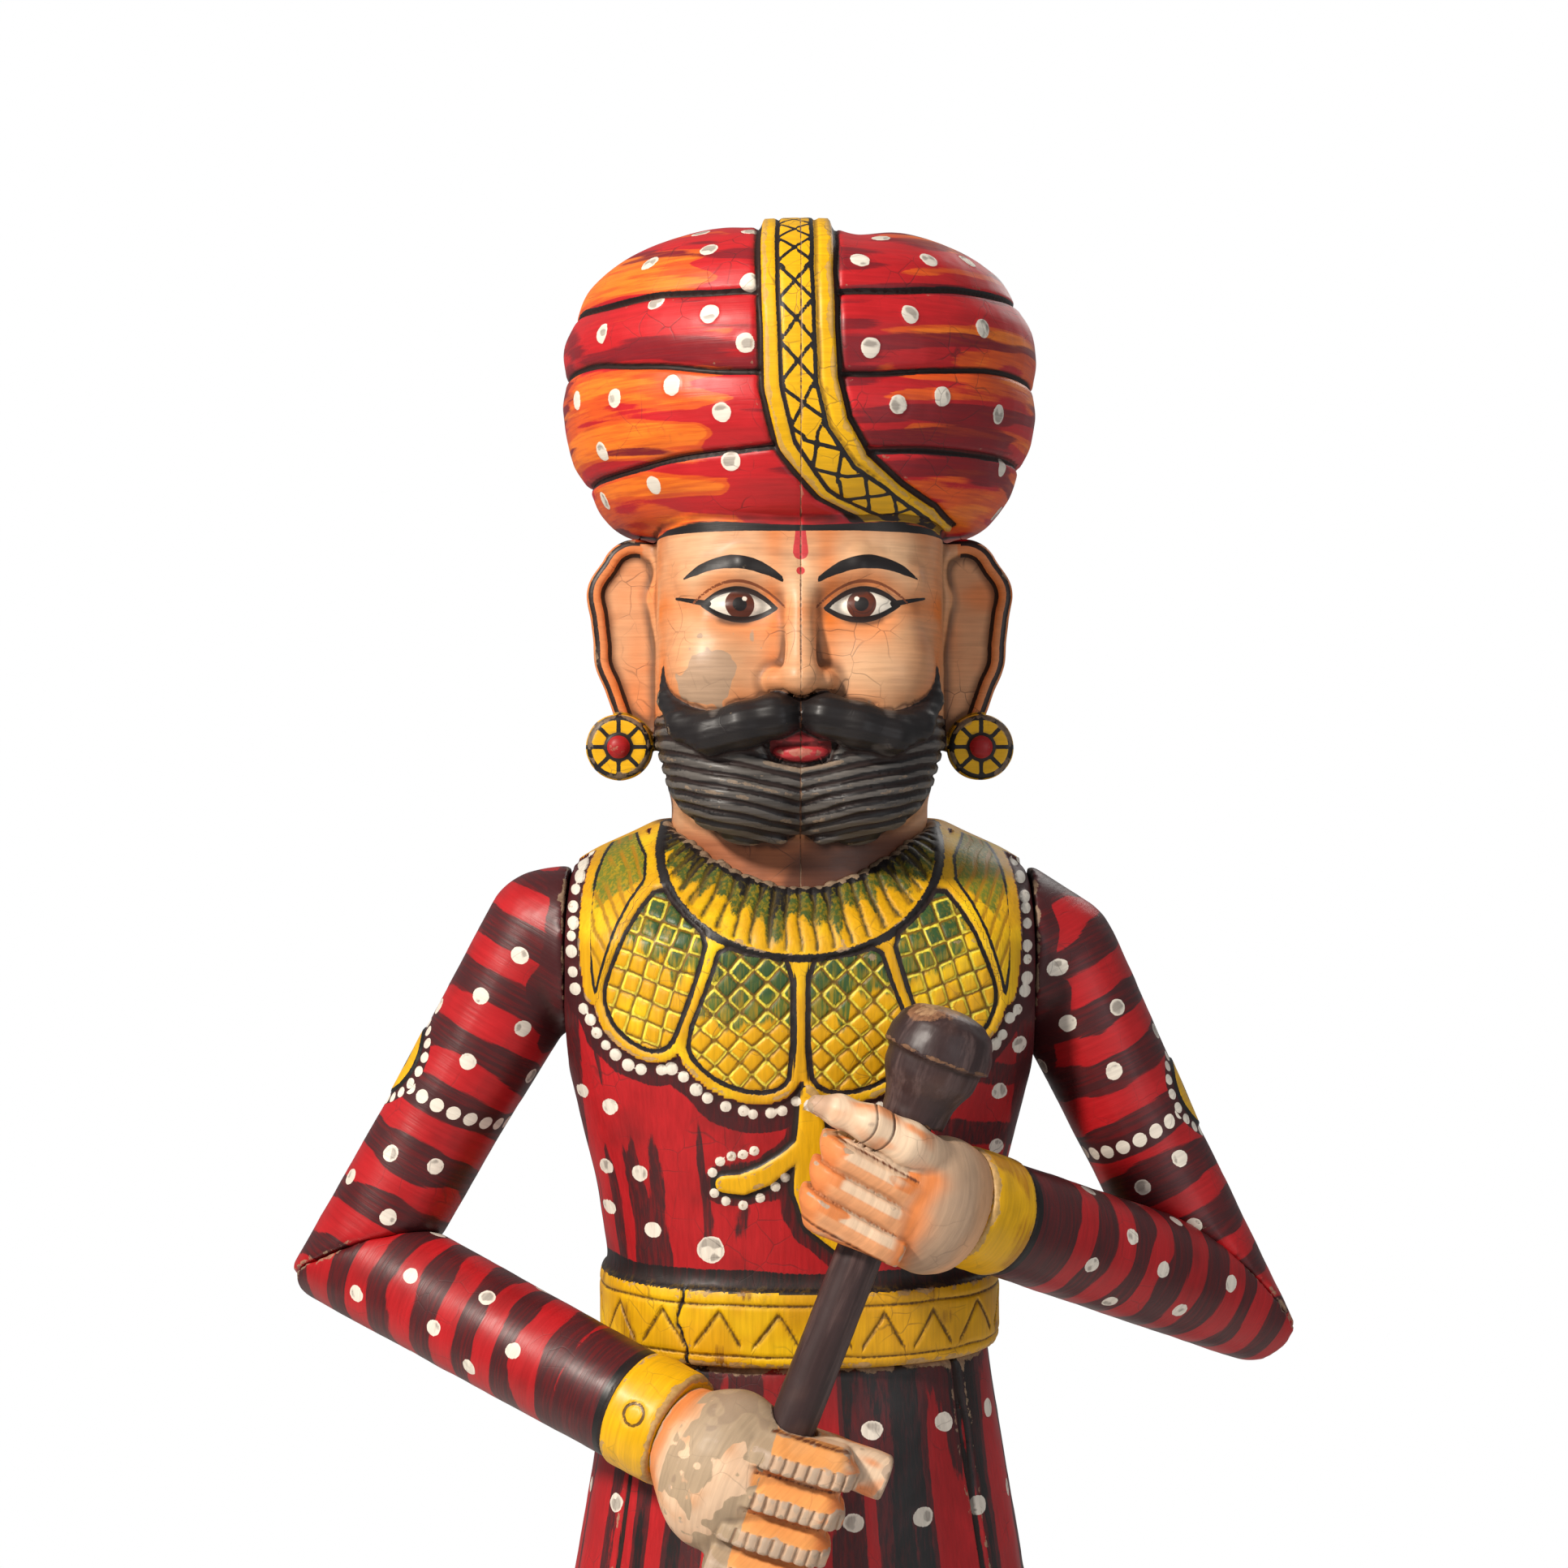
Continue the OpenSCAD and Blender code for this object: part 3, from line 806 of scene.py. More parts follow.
def features(p):
    """Face with its brows, cheeks, sockets, eyes, nose and mouth, on folded points."""
    brows = [(7, 15, -3, 5), (30, 21, -3, 5.5), (58, 13, -4, 4.5)]
    brows = [on_face(x, EYE_Z + z, out, r) for x, z, out, r in brows]
    skin = soft_min(face_block(p), chain(p, brows), 9)
    skin = soft_min(skin, egg(p, (43, -80, EYE_Z - 32), (24, 21, 24)), 14)
    skin = soft_max(skin, -egg(p, (EYE_X + 1, -108, EYE_Z), (25, 13.5, 13)), 7)
    skin = soft_min(skin, egg(p, (EYE_X, -84, EYE_Z - 0.5), (19, 14.5, 11)), 1.5)
    return soft_min(soft_min(skin, nose(p), 6), mouth(p), 1.5)


def ear_shape(p):
    """Outline of an ear seen from the front."""
    knots = [(90, 178, 19), (96, 166, 20), (90, 132, 22), (84, 97, 16)]
    return chain(p[:, [0, 2]], [((x, NECK_FOOT + z), r) for x, z, r in knots], 3)


def ear(p):
    rim = ear_shape(p)
    plate = soft_max(rim, np.abs(p[:, 1] - EAR_Y) - 7.5, 5)
    dish = soft_max(rim + 8, p[:, 1] - EAR_Y + 3.5, 4)
    return soft_max(plate, -dish, 3)


def ear_ring(p):
    x, y, z = (p - RING_AT).T
    disc = soft_max(np.hypot(x, z) - RING_R, np.abs(y) - 10, 5)
    return soft_min(disc, egg(p, RING_AT - [0, 10, 0], (6, 3.5, 6)), 2)


def head_field(p):
    x, y, z = p.T
    fold = folded(p)
    neck = soft_max(np.hypot(x, y - NECK_Y) - NECK_R, np.abs(z - NECK_FOOT - 40) - 40, 3)
    skull = soft_min(features(fold), neck, 8)
    for part, k in ((ear, 5), (beard, 1.5), (moustache, 1.5), (ear_ring, 1)):
        skull = soft_min(skull, part(fold), k)
    return soft_min(skull, turban_body(p), 1.5)


def on_turban(x, z):
    """The front point of the turban at this place across and up."""
    lift = z - TURBAN_MID
    reach, power = (CROWN - TURBAN_MID, 2.6) if lift > 0 else (TURBAN_DROP, 2.4)
    radius = TURBAN_R * max(0.0, 1 - (abs(lift) / reach) ** power) ** (1 / power)
    return (x, -math.sqrt(max(0.0, radius**2 - x**2)), z)


# The band's middle, then its half width at each knot
BAND = [(-2, 10, CROWN + 1), (-2, -50, CROWN - 2)] + [on_turban(x, CROWN - down) for x, down in (
    (-2, 12), (-2, 42), (-1, 72), (0, 100), (6, 124), (21, 144), (43, 156), (64, 162), (80, 167)
)]
BAND_HALF = [17, 18, 18, 18, 18, 18.5, 18.5, 16, 12, 7.5, 2]

# Grooves between the turban's wraps: the height in front, and its rise at the figure's right and left
WRAPS = [(CROWN - 52, 3, 11), (CROWN - 94, 12, 8), (CROWN - 131, -9, 1)]

# Dots in front, across and below the crown
TURBAN_DOTS = [
    (-52, 13), (-26, 13), (-47, 27), (-78, 31), (-26, 47), (-75, 53), (-46, 63), (-103, 66), (-28, 79),
    (-118, 97), (-96, 101), (-66, 98), (-40, 113), (-104, 126), (-36, 137), (-76, 146), (-105, 149), (42, 16),
    (30, 35), (66, 31), (88, 26), (55, 63), (94, 65), (35, 81), (72, 103), (49, 109), (103, 108), (109, 133),
    (107, 153)
]


def turban_normal(p):
    """Direction straight out of the turban's plain shape."""
    value = turban_body(p)
    slope = np.stack([turban_body(p + axis) - value for axis in np.eye(3)], 1)
    return slope / np.maximum(np.linalg.norm(slope, axis=1), 1e-6)[:, None]


def turban_dots():
    """Places of the painted dots: the given ones in front, and even rows behind."""
    places = [on_turban(x, CROWN - down) for x, down in TURBAN_DOTS]
    for k in range(9):
        for row in range(5):
            angle = math.radians(20 + 35 * k + 17 * (row % 2))
            z = CROWN - 30 - 31 * row
            reach = abs(on_turban(0, z)[1])
            if math.sin(angle) > 1 / 11:
                places.append((reach * math.cos(angle), reach * math.sin(angle), z))
    return places


def turban_marks(p):
    """The band, the place across it and along it, the distance from the wraps' grooves, and the dots."""
    x, z = p[:, 0], p[:, 2]
    near, side, run, knot = along_path(p, BAND, turban_normal(p))
    band = np.interp(knot, np.arange(len(BAND_HALF)), BAND_HALF) - near
    grooves = np.full(len(p), NEVER)
    for level, right, left in WRAPS:
        bend = right * fade(-x, 20, 125) + left * fade(x, 20, 125) + 1.6 * noise(p, 34, int(level))
        grooves = least(grooves, np.abs(z - (level + bend)))
    return band, near * side, run, grooves, dots_at(p, [(place, TURBAN_DOT) for place in turban_dots()])


def comb(p, rise, bend, period, seed):
    """Combed grooves that sweep out from the middle: 0 on a ridge and 1 in a groove."""
    x = np.abs(p[:, 0])
    level = p[:, 2] - rise * x + bend * x**2 + 0.8 * noise(p, 14, seed)
    return 0.5 - 0.5 * np.cos(2 * math.pi * level / period)


def beard_comb(fold):
    return comb(fold, 0.25, 0.0008, 6.6, 3)


def carve_head():
    piece = from_field("head", head_field, [-135, -134, NECK_FOOT - 4], [135, 134, CROWN + 4], 2.45)
    p = points_of(piece)
    x, z = p[:, 0], p[:, 2]
    fold = folded(p)
    wraps = fade(2.5 - turban_body(p), 0, 2) * fade(z, TURBAN_FOOT - 2, TURBAN_FOOT + 4)
    band, across, _, grooves, dots = turban_marks(p)
    # Round wraps with grooves between them, under a raised band with two raised borders
    off_band = fade(-band, 0, 4)
    depth = wraps * off_band * (2.4 * fade(grooves, 0, 16) - 1.2 - 3.2 * bump(grooves, 1.7))
    depth += wraps * (3.2 * fade(band, -1, 1.5) - 2.0 * bump(band + 2.2, 1.6))
    depth += wraps * -1.4 * bump(np.abs(np.abs(across) - BAND_EDGE), 1.1) * fade(band, 3, 5)
    dip = bump(x - 30, 16) * 5 + bump(x + 24, 12) * 2
    depth -= wraps * off_band * dip * fade(z, CROWN - 40, CROWN - 8)
    depth += wraps * off_band * 0.35 * fade(dots, -0.6, 0.6)
    # Combed hair, and uneven skin elsewhere
    hair = least(beard(fold), moustache(fold))
    on_beard = fade(1.2 - beard(fold), 0, 1) * fade(moustache(fold), 0.5, 2.5)
    on_moustache = fade(1.4 - moustache(fold), 0, 1)
    depth -= 1.8 * on_beard * beard_comb(fold) ** 3
    depth -= 0.3 * on_moustache * comb(fold, -0.1, 0.0016, 4.6, 9)
    depth += 0.35 * clouds(p, 16, 5) * fade(hair, -1, 2)
    seam = bump(x, 0.9) * (0.5 + 0.3 * noise(p, 9, 2))
    push(piece, depth - 0.4 * seam)
    return piece


def face_layers(fold, front_skin):
    """The whites of the eyes, and the painted eyes with a small painted highlight in each, brows, forehead
    mark and lips on the face's bare skin.
    """
    x, z = fold[:, 0], fold[:, 2]
    u = x - EYE_X
    v = z - EYE_Z - 0.06 * u
    w = np.clip(np.abs(u) / 19, 0, 1.3)
    white = least(9.0 * (1 - w**2) - v, v + 7.0 * (1 - w**2)) * 0.85
    ball = np.hypot(u + 0.5, v - 1)
    crease = 0.8 - np.abs(v - 13.5 * (1 - (np.abs(u) / 25) ** 2) + 0.5)
    tail = swath(fold[:, [0, 2]], [(EYE_X + 16, EYE_Z + 1.5), (EYE_X + 33, EYE_Z + 5)], [1.7, 0.7])
    arch = EYE_Z + 23 - 10.5 * ((x - 36) / 28) ** 2
    brow = np.interp(x, [7, 9, 20, 36, 54, 65], [-9, 1.3, 2.9, 3.3, 2.2, -0.6]) - 0.9 * np.abs(z - arch)
    tilak = swath(fold[:, [0, 2]], [(0, EYE_Z + 52), (0, EYE_Z + 40), (0, EYE_Z + 28)], [1.2, 2.6, 4.0])
    marks = [
        (white, WHITE, 0.1),
        (least(7.6 - ball, white), BROWN, 0.1),
        (least(3.7 - ball, white), BLACK, 0.1),
        # A painted highlight: a small white glint in each eye.
        (1.3 - np.hypot(u + 3.0, v - 4), WHITE, 0.05),
        (1.25 - np.abs(white), BLACK, 0.15),
        (most(tail, brow), BLACK, 0.2),
        (least(crease, 24 - np.abs(u)), "8A4A2A", 0.2),
        (most(tilak, 2.2 - np.hypot(x, z - EYE_Z - 18)), LIP, 0.2),
        (1.4 - mouth(fold), LIP, 0.15),
    ]
    return white, [layer(least(mark, front_skin), colour, ragged) for mark, colour, ragged in marks]


def skin_colour(p, fold, white, front):
    """Flesh with orange in the hollows, cream on the face, and painted shade on the neck below the chin,
    darker brown towards the figure's left.
    """
    x, z = fold[:, 0], fold[:, 2]
    flush = clouds(p, 26, 21)
    blush = 0.85 * fade(-white, 16, 2) * fade(-white, 0, 2) * front
    blush += 0.8 * bump(x - 14, 6) * fade(z, NOSE_Z + 2, NOSE_Z + 16) * front
    blush += 0.6 * fade(z, EYE_Z + 30, EYE_Z + 46) * front + 0.55 * fade(x, 52, 74) * front
    blush += 0.5 * (1 - front) * fade(flush, -0.4, 0.5) + 0.55 * fade(moustache(fold), 14, 2)
    blush = blush * (0.75 + 0.5 * flush) + 0.25 * fade(flush, 0.1, 0.6)
    # Painted shade on the neck, standing for the beard's shadow: dark brown below the chin, darker still in
    # patches towards the figure's left, the side away from the key lamp.
    neck = fade(FACE_FOOT + 8 - z, 0, 14)
    ear_rim = fade(ear_shape(fold) + 9, -1.5, 1.5) * (x > FACE_W + 8)
    return coat(
        SKIN, (CREAM, 0.8 * fade(-flush, -0.1, 0.5) * front), (BLUSH, 0.85 * blush), (BLUSH, 0.6 * ear_rim),
        ("9A5636", 0.9 * neck), ("4A2A20", 0.8 * neck * fade(flush + p[:, 0] / 90, -0.2, 0.4))
    )


def turban_layers(p, turban, on_wraps, front):
    """Red cloth with long orange and dark streaks, black grooves, dots, and the yellow band. The streaks are
    paint, but more orange on the figure's right is a painted highlight and more dark red on its left is
    painted shade.
    """
    x, y, z = p.T
    band, across, run, grooves, dots = turban_marks(p)
    swept = stretched(np.arctan2(x, -y) * 9, z - 7 * fade(np.abs(x), 10, 120))
    hot = noise(swept, 8.5, 31) + 0.35 * noise(swept * [1.5, 1], 3.6, 32)
    reach = np.abs(x - 2) + 16 * noise(swept * [0.3, 1], 7, 33)
    # More orange on the figure's right, the side the key lamp lights, as a painted highlight; none next to
    # the band.
    hot = hot + np.where(x < 0, 0.06, -0.16) - 1.4 * fade(50 - reach, 0, 14) * front
    # Dark red streaks, with more of them on the figure's left, away from the key lamp, as painted shade.
    deep = noise(swept, 7, 41) + 0.35 * noise(swept * [1.5, 1], 3.2, 42) + np.where(x < 0, -0.12, 0.12)
    strip = least(8.6 - np.abs(across + 1.2), band - 5.5)
    lattice = ((run + 3) / 20.5) % 1 - 0.5
    cross = 0.95 - np.abs(np.abs(across + 1.2) - 17 * np.abs(lattice)) * 0.78
    under_rim = least(z - TURBAN_FOOT + 4, 9 - np.abs(turban)) * (on_wraps < 2.5)
    return [
        layer(under_rim, BLACK, 0.3),
        layer(on_wraps, CRIMSON, 0.3),
        layer(least(on_wraps, 6 * hot), ORANGE, 0.9, 0.4, 0.25),
        layer(least(on_wraps, 6 * (hot - 0.42)), "F07A1E", 1.0, 0.6, 0.5),
        layer(least(on_wraps, 6 * (deep - 0.42)), "7E1620", 1.0, 0.5, 0.3),
        layer(least(on_wraps, 1.5 - grooves - 3 * (band > -1)), BLACK, 0.5),
        *dot_coats(p, least(on_wraps, dots, -band)),
        layer(least(on_wraps, band + 3.2), "2B1A17", 0.35),
        layer(least(on_wraps, band), YELLOW, 0.2),
        layer(least(on_wraps, band, most(1.1 - np.abs(strip), least(cross, strip))), BLACK, 0.3),
    ]


def ring_layers(fold):
    """An ear-ring's yellow face, black spokes and red boss."""
    x, y, z = (fold - RING_AT).T
    radius = np.hypot(x, z)
    spokes = 1.1 - radius * np.abs(np.sin(4 * np.arctan2(z, x))) / 4
    on_ring = 1.2 - ear_ring(fold)
    return [
        layer(least(on_ring, FAR), YELLOW, 0.1),
        layer(least(on_ring, most(spokes, 1.3 - np.abs(radius - 16), 1.0 - np.abs(radius - 7))), BLACK, 0.25),
        layer(least(on_ring, 6.2 - radius) - FAR * (y > 0), "A5161A", 0.2),
    ]


def hair_layers(p, fold, up):
    """Black beard, moustache and nape. Grey on the beard's comb ridges and on the moustache, more where it
    faces up, is partly worn paint and partly a painted highlight. up is how far the surface faces up.
    """
    x, y, z = fold.T
    on_beard, on_moustache = beard(fold), moustache(fold)
    hair = 0.9 - least(on_beard, on_moustache)
    chin = least(12 - x, LIP_Z - 12 - z, z - FACE_FOOT - 1)
    nape_foot = FACE_FOOT + 34 - 7 * noise(p * [1, 1, 0.15], 5, 60)
    nape = least(y - 26 + 5 * noise(p * [1, 1, 0.3], 7, 59), z - nape_foot)
    nape = np.where(x > FACE_W + 6, -FAR, nape)
    # Grey along the comb ridges: partly rubbed paint, partly a painted highlight on the crests.
    ridge = 5 * (0.5 - beard_comb(fold) + 0.4 * clouds(p, 18, 58))
    # Grey on the moustache, more on its upward faces and none at its outer ends: partly worn paint, partly a
    # painted sheen from above.
    wear_and_sheen = 8 * (clouds(p, 15, 57) + 0.25 * fade(up, 0.2, 0.8) - 0.3) - fade(x, 44, 60) * FAR
    return [
        layer(most(hair, np.where(y < -60, chin, -FAR), least(nape, FAR)), BLACK, 0.4),
        layer(least(hair, on_moustache - 1.5, ridge), "5E5955", 0.7, 0.5, 0.3),
        layer(least(1.2 - on_moustache, wear_and_sheen), "5A5450", 1.0, 0.9, 0.4),
    ]


def paint_head(piece, side):
    p, n = points_of(piece), normals_of(piece)
    x, y, z = p.T
    fold = folded(p)
    front = fade(-y, 46, 56)
    turban = turban_body(p)
    on_wraps = 4.2 - most(turban, TURBAN_FOOT + 2 - z)
    on_wraps = np.where(z < TURBAN_FOOT - 6, -FAR, least(on_wraps, FAR))
    front_skin = np.where((y < -50) & (on_wraps < 0), FAR, -9 * FAR)
    white, painted_face = face_layers(fold, front_skin)
    # A big worn patch on the right cheek, and smaller ones elsewhere
    patch = clouds(p, 30, 55) + 0.3 * noise(p, 5, 56)
    patch = 14 * (patch - np.where((x < -20) & (z < EYE_Z - 12), 0.28, 0.62))
    patch = most(patch, 12 - np.hypot(x + 50, 0.8 * (z - EYE_Z + 38)) + 13 * clouds(p, 13, 61))
    patch = np.where(z < FACE_FOOT + 20, -FAR, patch)
    ears = ear_shape(fold)
    ear_lines = np.where(y < EAR_Y + 3, most(1.3 - np.abs(ears + 2.6), 1.0 - np.abs(ears + 9.0)), -FAR)
    layers = [
        layer(least(patch, front_skin), "B5957A", 0.3, 0.2),
        *painted_face,
        layer(ear_lines - 60 * (np.abs(x) < 87), "2A1A16", 0.25),
        *ring_layers(fold),
        *hair_layers(p, fold, n[:, 2]),
        *turban_layers(p, turban, on_wraps, front),
        layer(least(0.3 + 0.3 * noise(p, 20, 8) - np.abs(x), 2), "5A3A28", 0.3, 0.2, 0.5),
    ]
    colour = skin_colour(p, fold, white, front)
    # The flat face where the halves meet is bare wood
    inner = (np.abs(n[:, 0]) > 0.98) & (np.abs(x) < 0.3)
    for one in layers:
        one["mark"] = np.where(inner, -FAR, one["mark"])
    colour[inner] = WOOD
    node = f"head_{SIDE_NAMES[side]}_half"
    finish(piece, node, "head_paint", colour, layers, level_strokes, rough=0.4, chips=0.28, crackle=0.6)


def make_head():
    whole_head = carve_head()
    for side in (-1, 1):
        paint_head(link(f"head_{SIDE_NAMES[side]}_carved", cut_at_middle(whole_head, side)), side)
    bpy.data.objects.remove(whole_head)


# ---------------------------------------------------------------- torso and skirt

BELT_Z = corners("torso")[0][2]
BELT_TOP = BELT_Z + 41
SKIRT_LOW, SKIRT_HIGH = corners("skirt")
HEM_Z = SKIRT_LOW[2]
HEM_TOP = 35  # of the yellow border, above the hem
HEM_R = 150  # mean radius of the hem
PANEL_CUTS = (-58, 58, 126, -126, 180)  # degrees from the front
RIB_TURN = math.radians(5.2)  # between the ribs of the collar's ring
NET_PITCH = 9.4  # of the lines scored on its petals
BEAD_GAP = 4.6  # from the collar's edge to its beads
BEAD_STEP = 7.6  # between beads, before their unevenness

# Outlines of the collar's petals on one side, across and up from the neck's foot
INNER_PETAL = [
    (3, -22), (22, -26), (42, -19), (48, -38), (61, -71), (56, -83), (42, -94), (24, -99), (10, -97), (3, -88)
]
OUTER_PETAL = [
    (74, 12), (90, -8), (102, -36), (105, -49), (101, -62), (93, -71), (80, -78), (70, -77), (64, -70),
    (52, -36), (47, -16), (62, -4)
]
SIDE_PETAL = [
    (78, 18), (94, -6), (104, -34), (108, -52), (111, -40), (113, -16), (112, 10), (106, 30), (94, 44)
]

# The ribbon below the collar: its leaf and its strip, with their half widths, and the beads round the leaf
LEAF = [(-40, -146), (-30, -146), (-18, -141), (-7, -133), (2, -124)]
LEAF_HALF = [4.4, 5.4, 5.4, 4.4, 3.6]
STRIP = [(5, -98), (6, -128), (6, -148), (11, -164), (22, -180)]
STRIP_HALF = [5, 8.5, 9.5, 9, 3]
LEAF_BEADS = [
    (-45, -151), (-39, -155), (-30, -157), (-21, -153), (-13, -147), (-8, -142), (-46, -140), (-42, -134),
    (-36, -131), (-30, -130), (-24, -128)
]

# White dots on the cloth in front: across, up from the belt's top, and radius
BELLY_DOTS = [
    (-101, 93, 4.4), (-85, 58, 4.4), (-78, 28, 4.4), (-47, 20, 7.2), (-117, 99, 3.8), (-103, 36, 4),
    (106, 101, 4.4), (105, 70, 4.4), (88, 43, 4.4), (60, 21, 4.4), (117, 125, 4.4), (-104, 59, 4)
]
BACK_DOT = 5.0  # radius


def cape(x, z, w, h, rise):
    """A mark inside an ellipse of the collar, its middle this far above the neck's foot."""
    return (1 - np.hypot(x / w, (z - CHEST - rise) / h)) * h


def cape_behind(p):
    """A mark inside the collar's outline on the back, for its beads."""
    return cape(p[:, 0], p[:, 2], 117, 72, 32)


def collar_marks(p):
    """The collar's parts: whole, three petals and inner ring, and the share that lies behind."""
    x, z = np.abs(p[:, 0]), p[:, 2]
    flat = stretched(x, z - CHEST)
    inner, outer, side = (outline(flat, petal) for petal in (INNER_PETAL, OUTER_PETAL, SIDE_PETAL))
    ring = cape(x, z, 76, 58, 30)
    back = fade(p[:, 1], -6, 6)
    collar = mix(most(inner, outer, side, ring) + 5, cape(x, z, 124, 72, 32), back)
    return collar, inner, outer, side, ring, back


def beads_round(mark, count):
    """Places and radii of uneven beads round the chest, just outside a mark found at this count of turns."""
    angles = np.radians(np.linspace(-214, 34, count))
    low, high = np.zeros(count), np.full(count, 190.0)
    for _ in range(24):
        reach = (low + high) / 2
        p = stretched(reach * np.cos(angles), 0 * reach - 50, CHEST - 6 + reach * np.sin(angles))
        outside = mark(p) < -BEAD_GAP
        high = np.where(outside, reach, high)
        low = np.where(outside, low, reach)
    p = stretched(reach * np.cos(angles), CHEST - 6 + reach * np.sin(angles))
    run = np.concatenate([[0], np.cumsum(np.linalg.norm(np.diff(p, axis=0), axis=1))])
    random = np.random.default_rng(5)
    at = np.cumsum(BEAD_STEP * random.uniform(0.8, 1.35, int(run[-1] / BEAD_STEP)))
    at = at[at < run[-1]]
    wander = random.uniform(-0.9, 0.9, (len(at), 2))
    places = stretched(np.interp(at, run, p[:, 0]), np.interp(at, run, p[:, 1])) + wander
    return list(zip(places, random.uniform(2.6, 3.6, len(at))))


def net_lines(flat, pitch, turn):
    """Signed distance to the lines of a slanting net."""
    c, s = math.cos(math.radians(turn)), math.sin(math.radians(turn))
    x, z = flat.T
    a = x * c + z * s + 1.2 * noise(flat, 22, 3)
    b = z * c - x * s + 1.2 * noise(flat, 22, 4)
    return either(stripes(a, pitch), stripes(b, pitch * 1.1))


def teeth(run, z, low, high, period, share):
    """Signed distance to pointed teeth, each taking up this share of the period, and the mark they lie in."""
    swing = np.abs((run / period) % 1 * 2 - 1) / share
    slope = 2 * (high - low) / (period * share)
    return (z - mix(high, low, swing)) / math.hypot(1, slope), (1 - swing) * period * share / 2


def torso_marks(p):
    """The collar's parts, net and beads, the ribbon, and each point's place round the chest and the neck."""
    x, y, z = p.T
    flat = stretched(x, z - CHEST)
    collar, inner, outer, side, ring, back = collar_marks(p)
    behind = back > 0.5
    fold = stretched(np.abs(x), z)
    net = np.where(inner > outer, net_lines(fold, NET_PITCH, 42), net_lines(fold, NET_PITCH, 18))
    rim = beads_round(lambda q: collar_marks(q)[0], 700)
    rim += [((bx, CHEST + bz), 2.6) for bx, bz in LEAF_BEADS]
    bead = most(-FAR, dots_at(p[:, [0, 2]], rim))
    bead_behind = most(-FAR, dots_at(p[:, [0, 2]], beads_round(cape_behind, 300)))
    turn = np.arctan2(x, -(y - NECK_Y))
    return {
        "collar": collar, "inner": inner, "outer": outer, "side": side, "ring": ring, "front": 1 - back,
        "petals": most(inner, outer), "net": net, "bead": np.where(behind, bead_behind, bead),
        "run": np.arctan2(x, -y) * 100, "turn": turn,
        "ribbon": np.where(behind, -FAR, most(swath(flat, LEAF, LEAF_HALF), swath(flat, STRIP, STRIP_HALF))),
        "neck": np.hypot(x, y - NECK_Y) - NECK_R,
    }


def belt_marks(p, run):
    """Signed distances to the belt's teeth, to its two level lines and to its crack, and the teeth's mark."""
    z = p[:, 2]
    wave = 1.5 * noise(p, 26, 5)
    tooth, area = teeth(run + 5 * noise(p, 42, 6), z + wave, BELT_Z + 11, BELT_TOP - 12, 31, 0.8)
    wave = 0.7 * noise(p, 18, 7)
    level = either(z - BELT_Z - 6.5 + wave, z - BELT_TOP + 8 + wave)
    crack = run + 67 + 5 * noise(p, 16, 12) + 3 * noise(p, 7, 13)
    return tooth, level, crack, area


def carve_torso():
    piece = from_frame("torso", 3.0, 14)
    p = points_of(piece)
    z = p[:, 2]
    m = torso_marks(p)
    tooth, level, crack, area = belt_marks(p, m["run"])
    # A raised collar whose petals have a scored net and outline, round a ribbed ring
    collar = fade(m["collar"], -0.8, 0.8)
    petal_rim = least(np.abs(m["inner"] - 1), np.abs(m["outer"] - 1))
    depth = 2.2 * collar - fade(m["petals"], 1, 2.5) * m["front"] * bump(m["net"], 1.0)
    depth -= 1.1 * bump(petal_rim, 1.3) * m["front"] * (m["ring"] < 0)
    depth += 0.9 * fade(m["ring"], -1, 1) * m["front"]
    ribs = stripes(m["turn"] + 0.01 * noise(p, 12, 9), RIB_TURN) * NECK_R
    depth -= fade(m["ring"], 2, 4) * fade(m["neck"], -1, 3) * bump(ribs, 1.1) * m["front"]
    depth += 2.0 * fade(m["ribbon"], -0.8, 0.8) + 0.9 * fade(m["bead"], -0.4, 1.2)
    # A raised belt with scored teeth and lines, and a crack across it
    on_belt = fade(BELT_TOP + 1 - z, 0, 3) * fade(z, BELT_Z - 1, BELT_Z + 2)
    scored = np.where(area > 0, bump(tooth, 0.9), 0) + bump(level, 0.9)
    depth += on_belt * (1.5 - 1.1 * scored - 2.2 * bump(crack, 0.8))
    depth += 0.5 * clouds(p, 24, 15) * (1 - collar)
    push(piece, depth)
    return piece


def torso_ground(p, m, shade):
    """Ground colour of the torso: red cloth, yellow collar and belt."""
    yellow = coat(YELLOW, (OCHRE, 0.3 + 0.35 * shade), (PALE_YELLOW, 0.8 * fade(-shade, 0, 0.6)))
    red = coat(RED, (CRIMSON, 0.5 + 0.5 * shade), (MAROON, 0.3 * fade(-shade, 0.1, 0.7)))
    belt_yellow = coat(YELLOW, (OCHRE, 0.3 + 0.5 * shade), (PALE_YELLOW, 0.5 * fade(-shade, 0, 0.6)))
    colour = np.where((most(m["collar"], m["ribbon"]) > 0)[:, None], yellow, red)
    return np.where((p[:, 2] < BELT_TOP + 1.5)[:, None], belt_yellow, colour)


def collar_greens(p, m, shade, front):
    """Green strokes that run down the collar from the neck."""
    ring, neck = m["ring"], m["neck"]
    on_collar = least(m["collar"], front)
    streak = noise(stretched(m["turn"] * 90, p[:, 2] * 0.12), 5, 68)
    reach = ring + 30 + 12 * streak + 6 * shade - 4 * fade(m["outer"] - m["inner"], -4, 4)
    on_petals = least(0.35 * reach, m["petals"] - 1, on_collar, -ring)
    on_ring = least(0.4 * (20 - neck + 7 * streak), on_collar, ring)
    on_side = least(0.3 * (p[:, 2] - CHEST - 3 + 12 * streak), m["side"], on_collar, -ring)
    wedge = 19 + 9 * streak - neck
    return wedge, [
        layer(on_petals, "4E6428", 1.0, 0.6, 0.45),
        layer(least(on_petals, 0.3 * (reach - 14)), "33502A", 1.0, 0.6, 0.4),
        layer(on_side, "6A7420", 1.0, 0.6, 0.5),
        layer(on_ring, "42521F", 1.0, 0.5, 0.35),
    ]


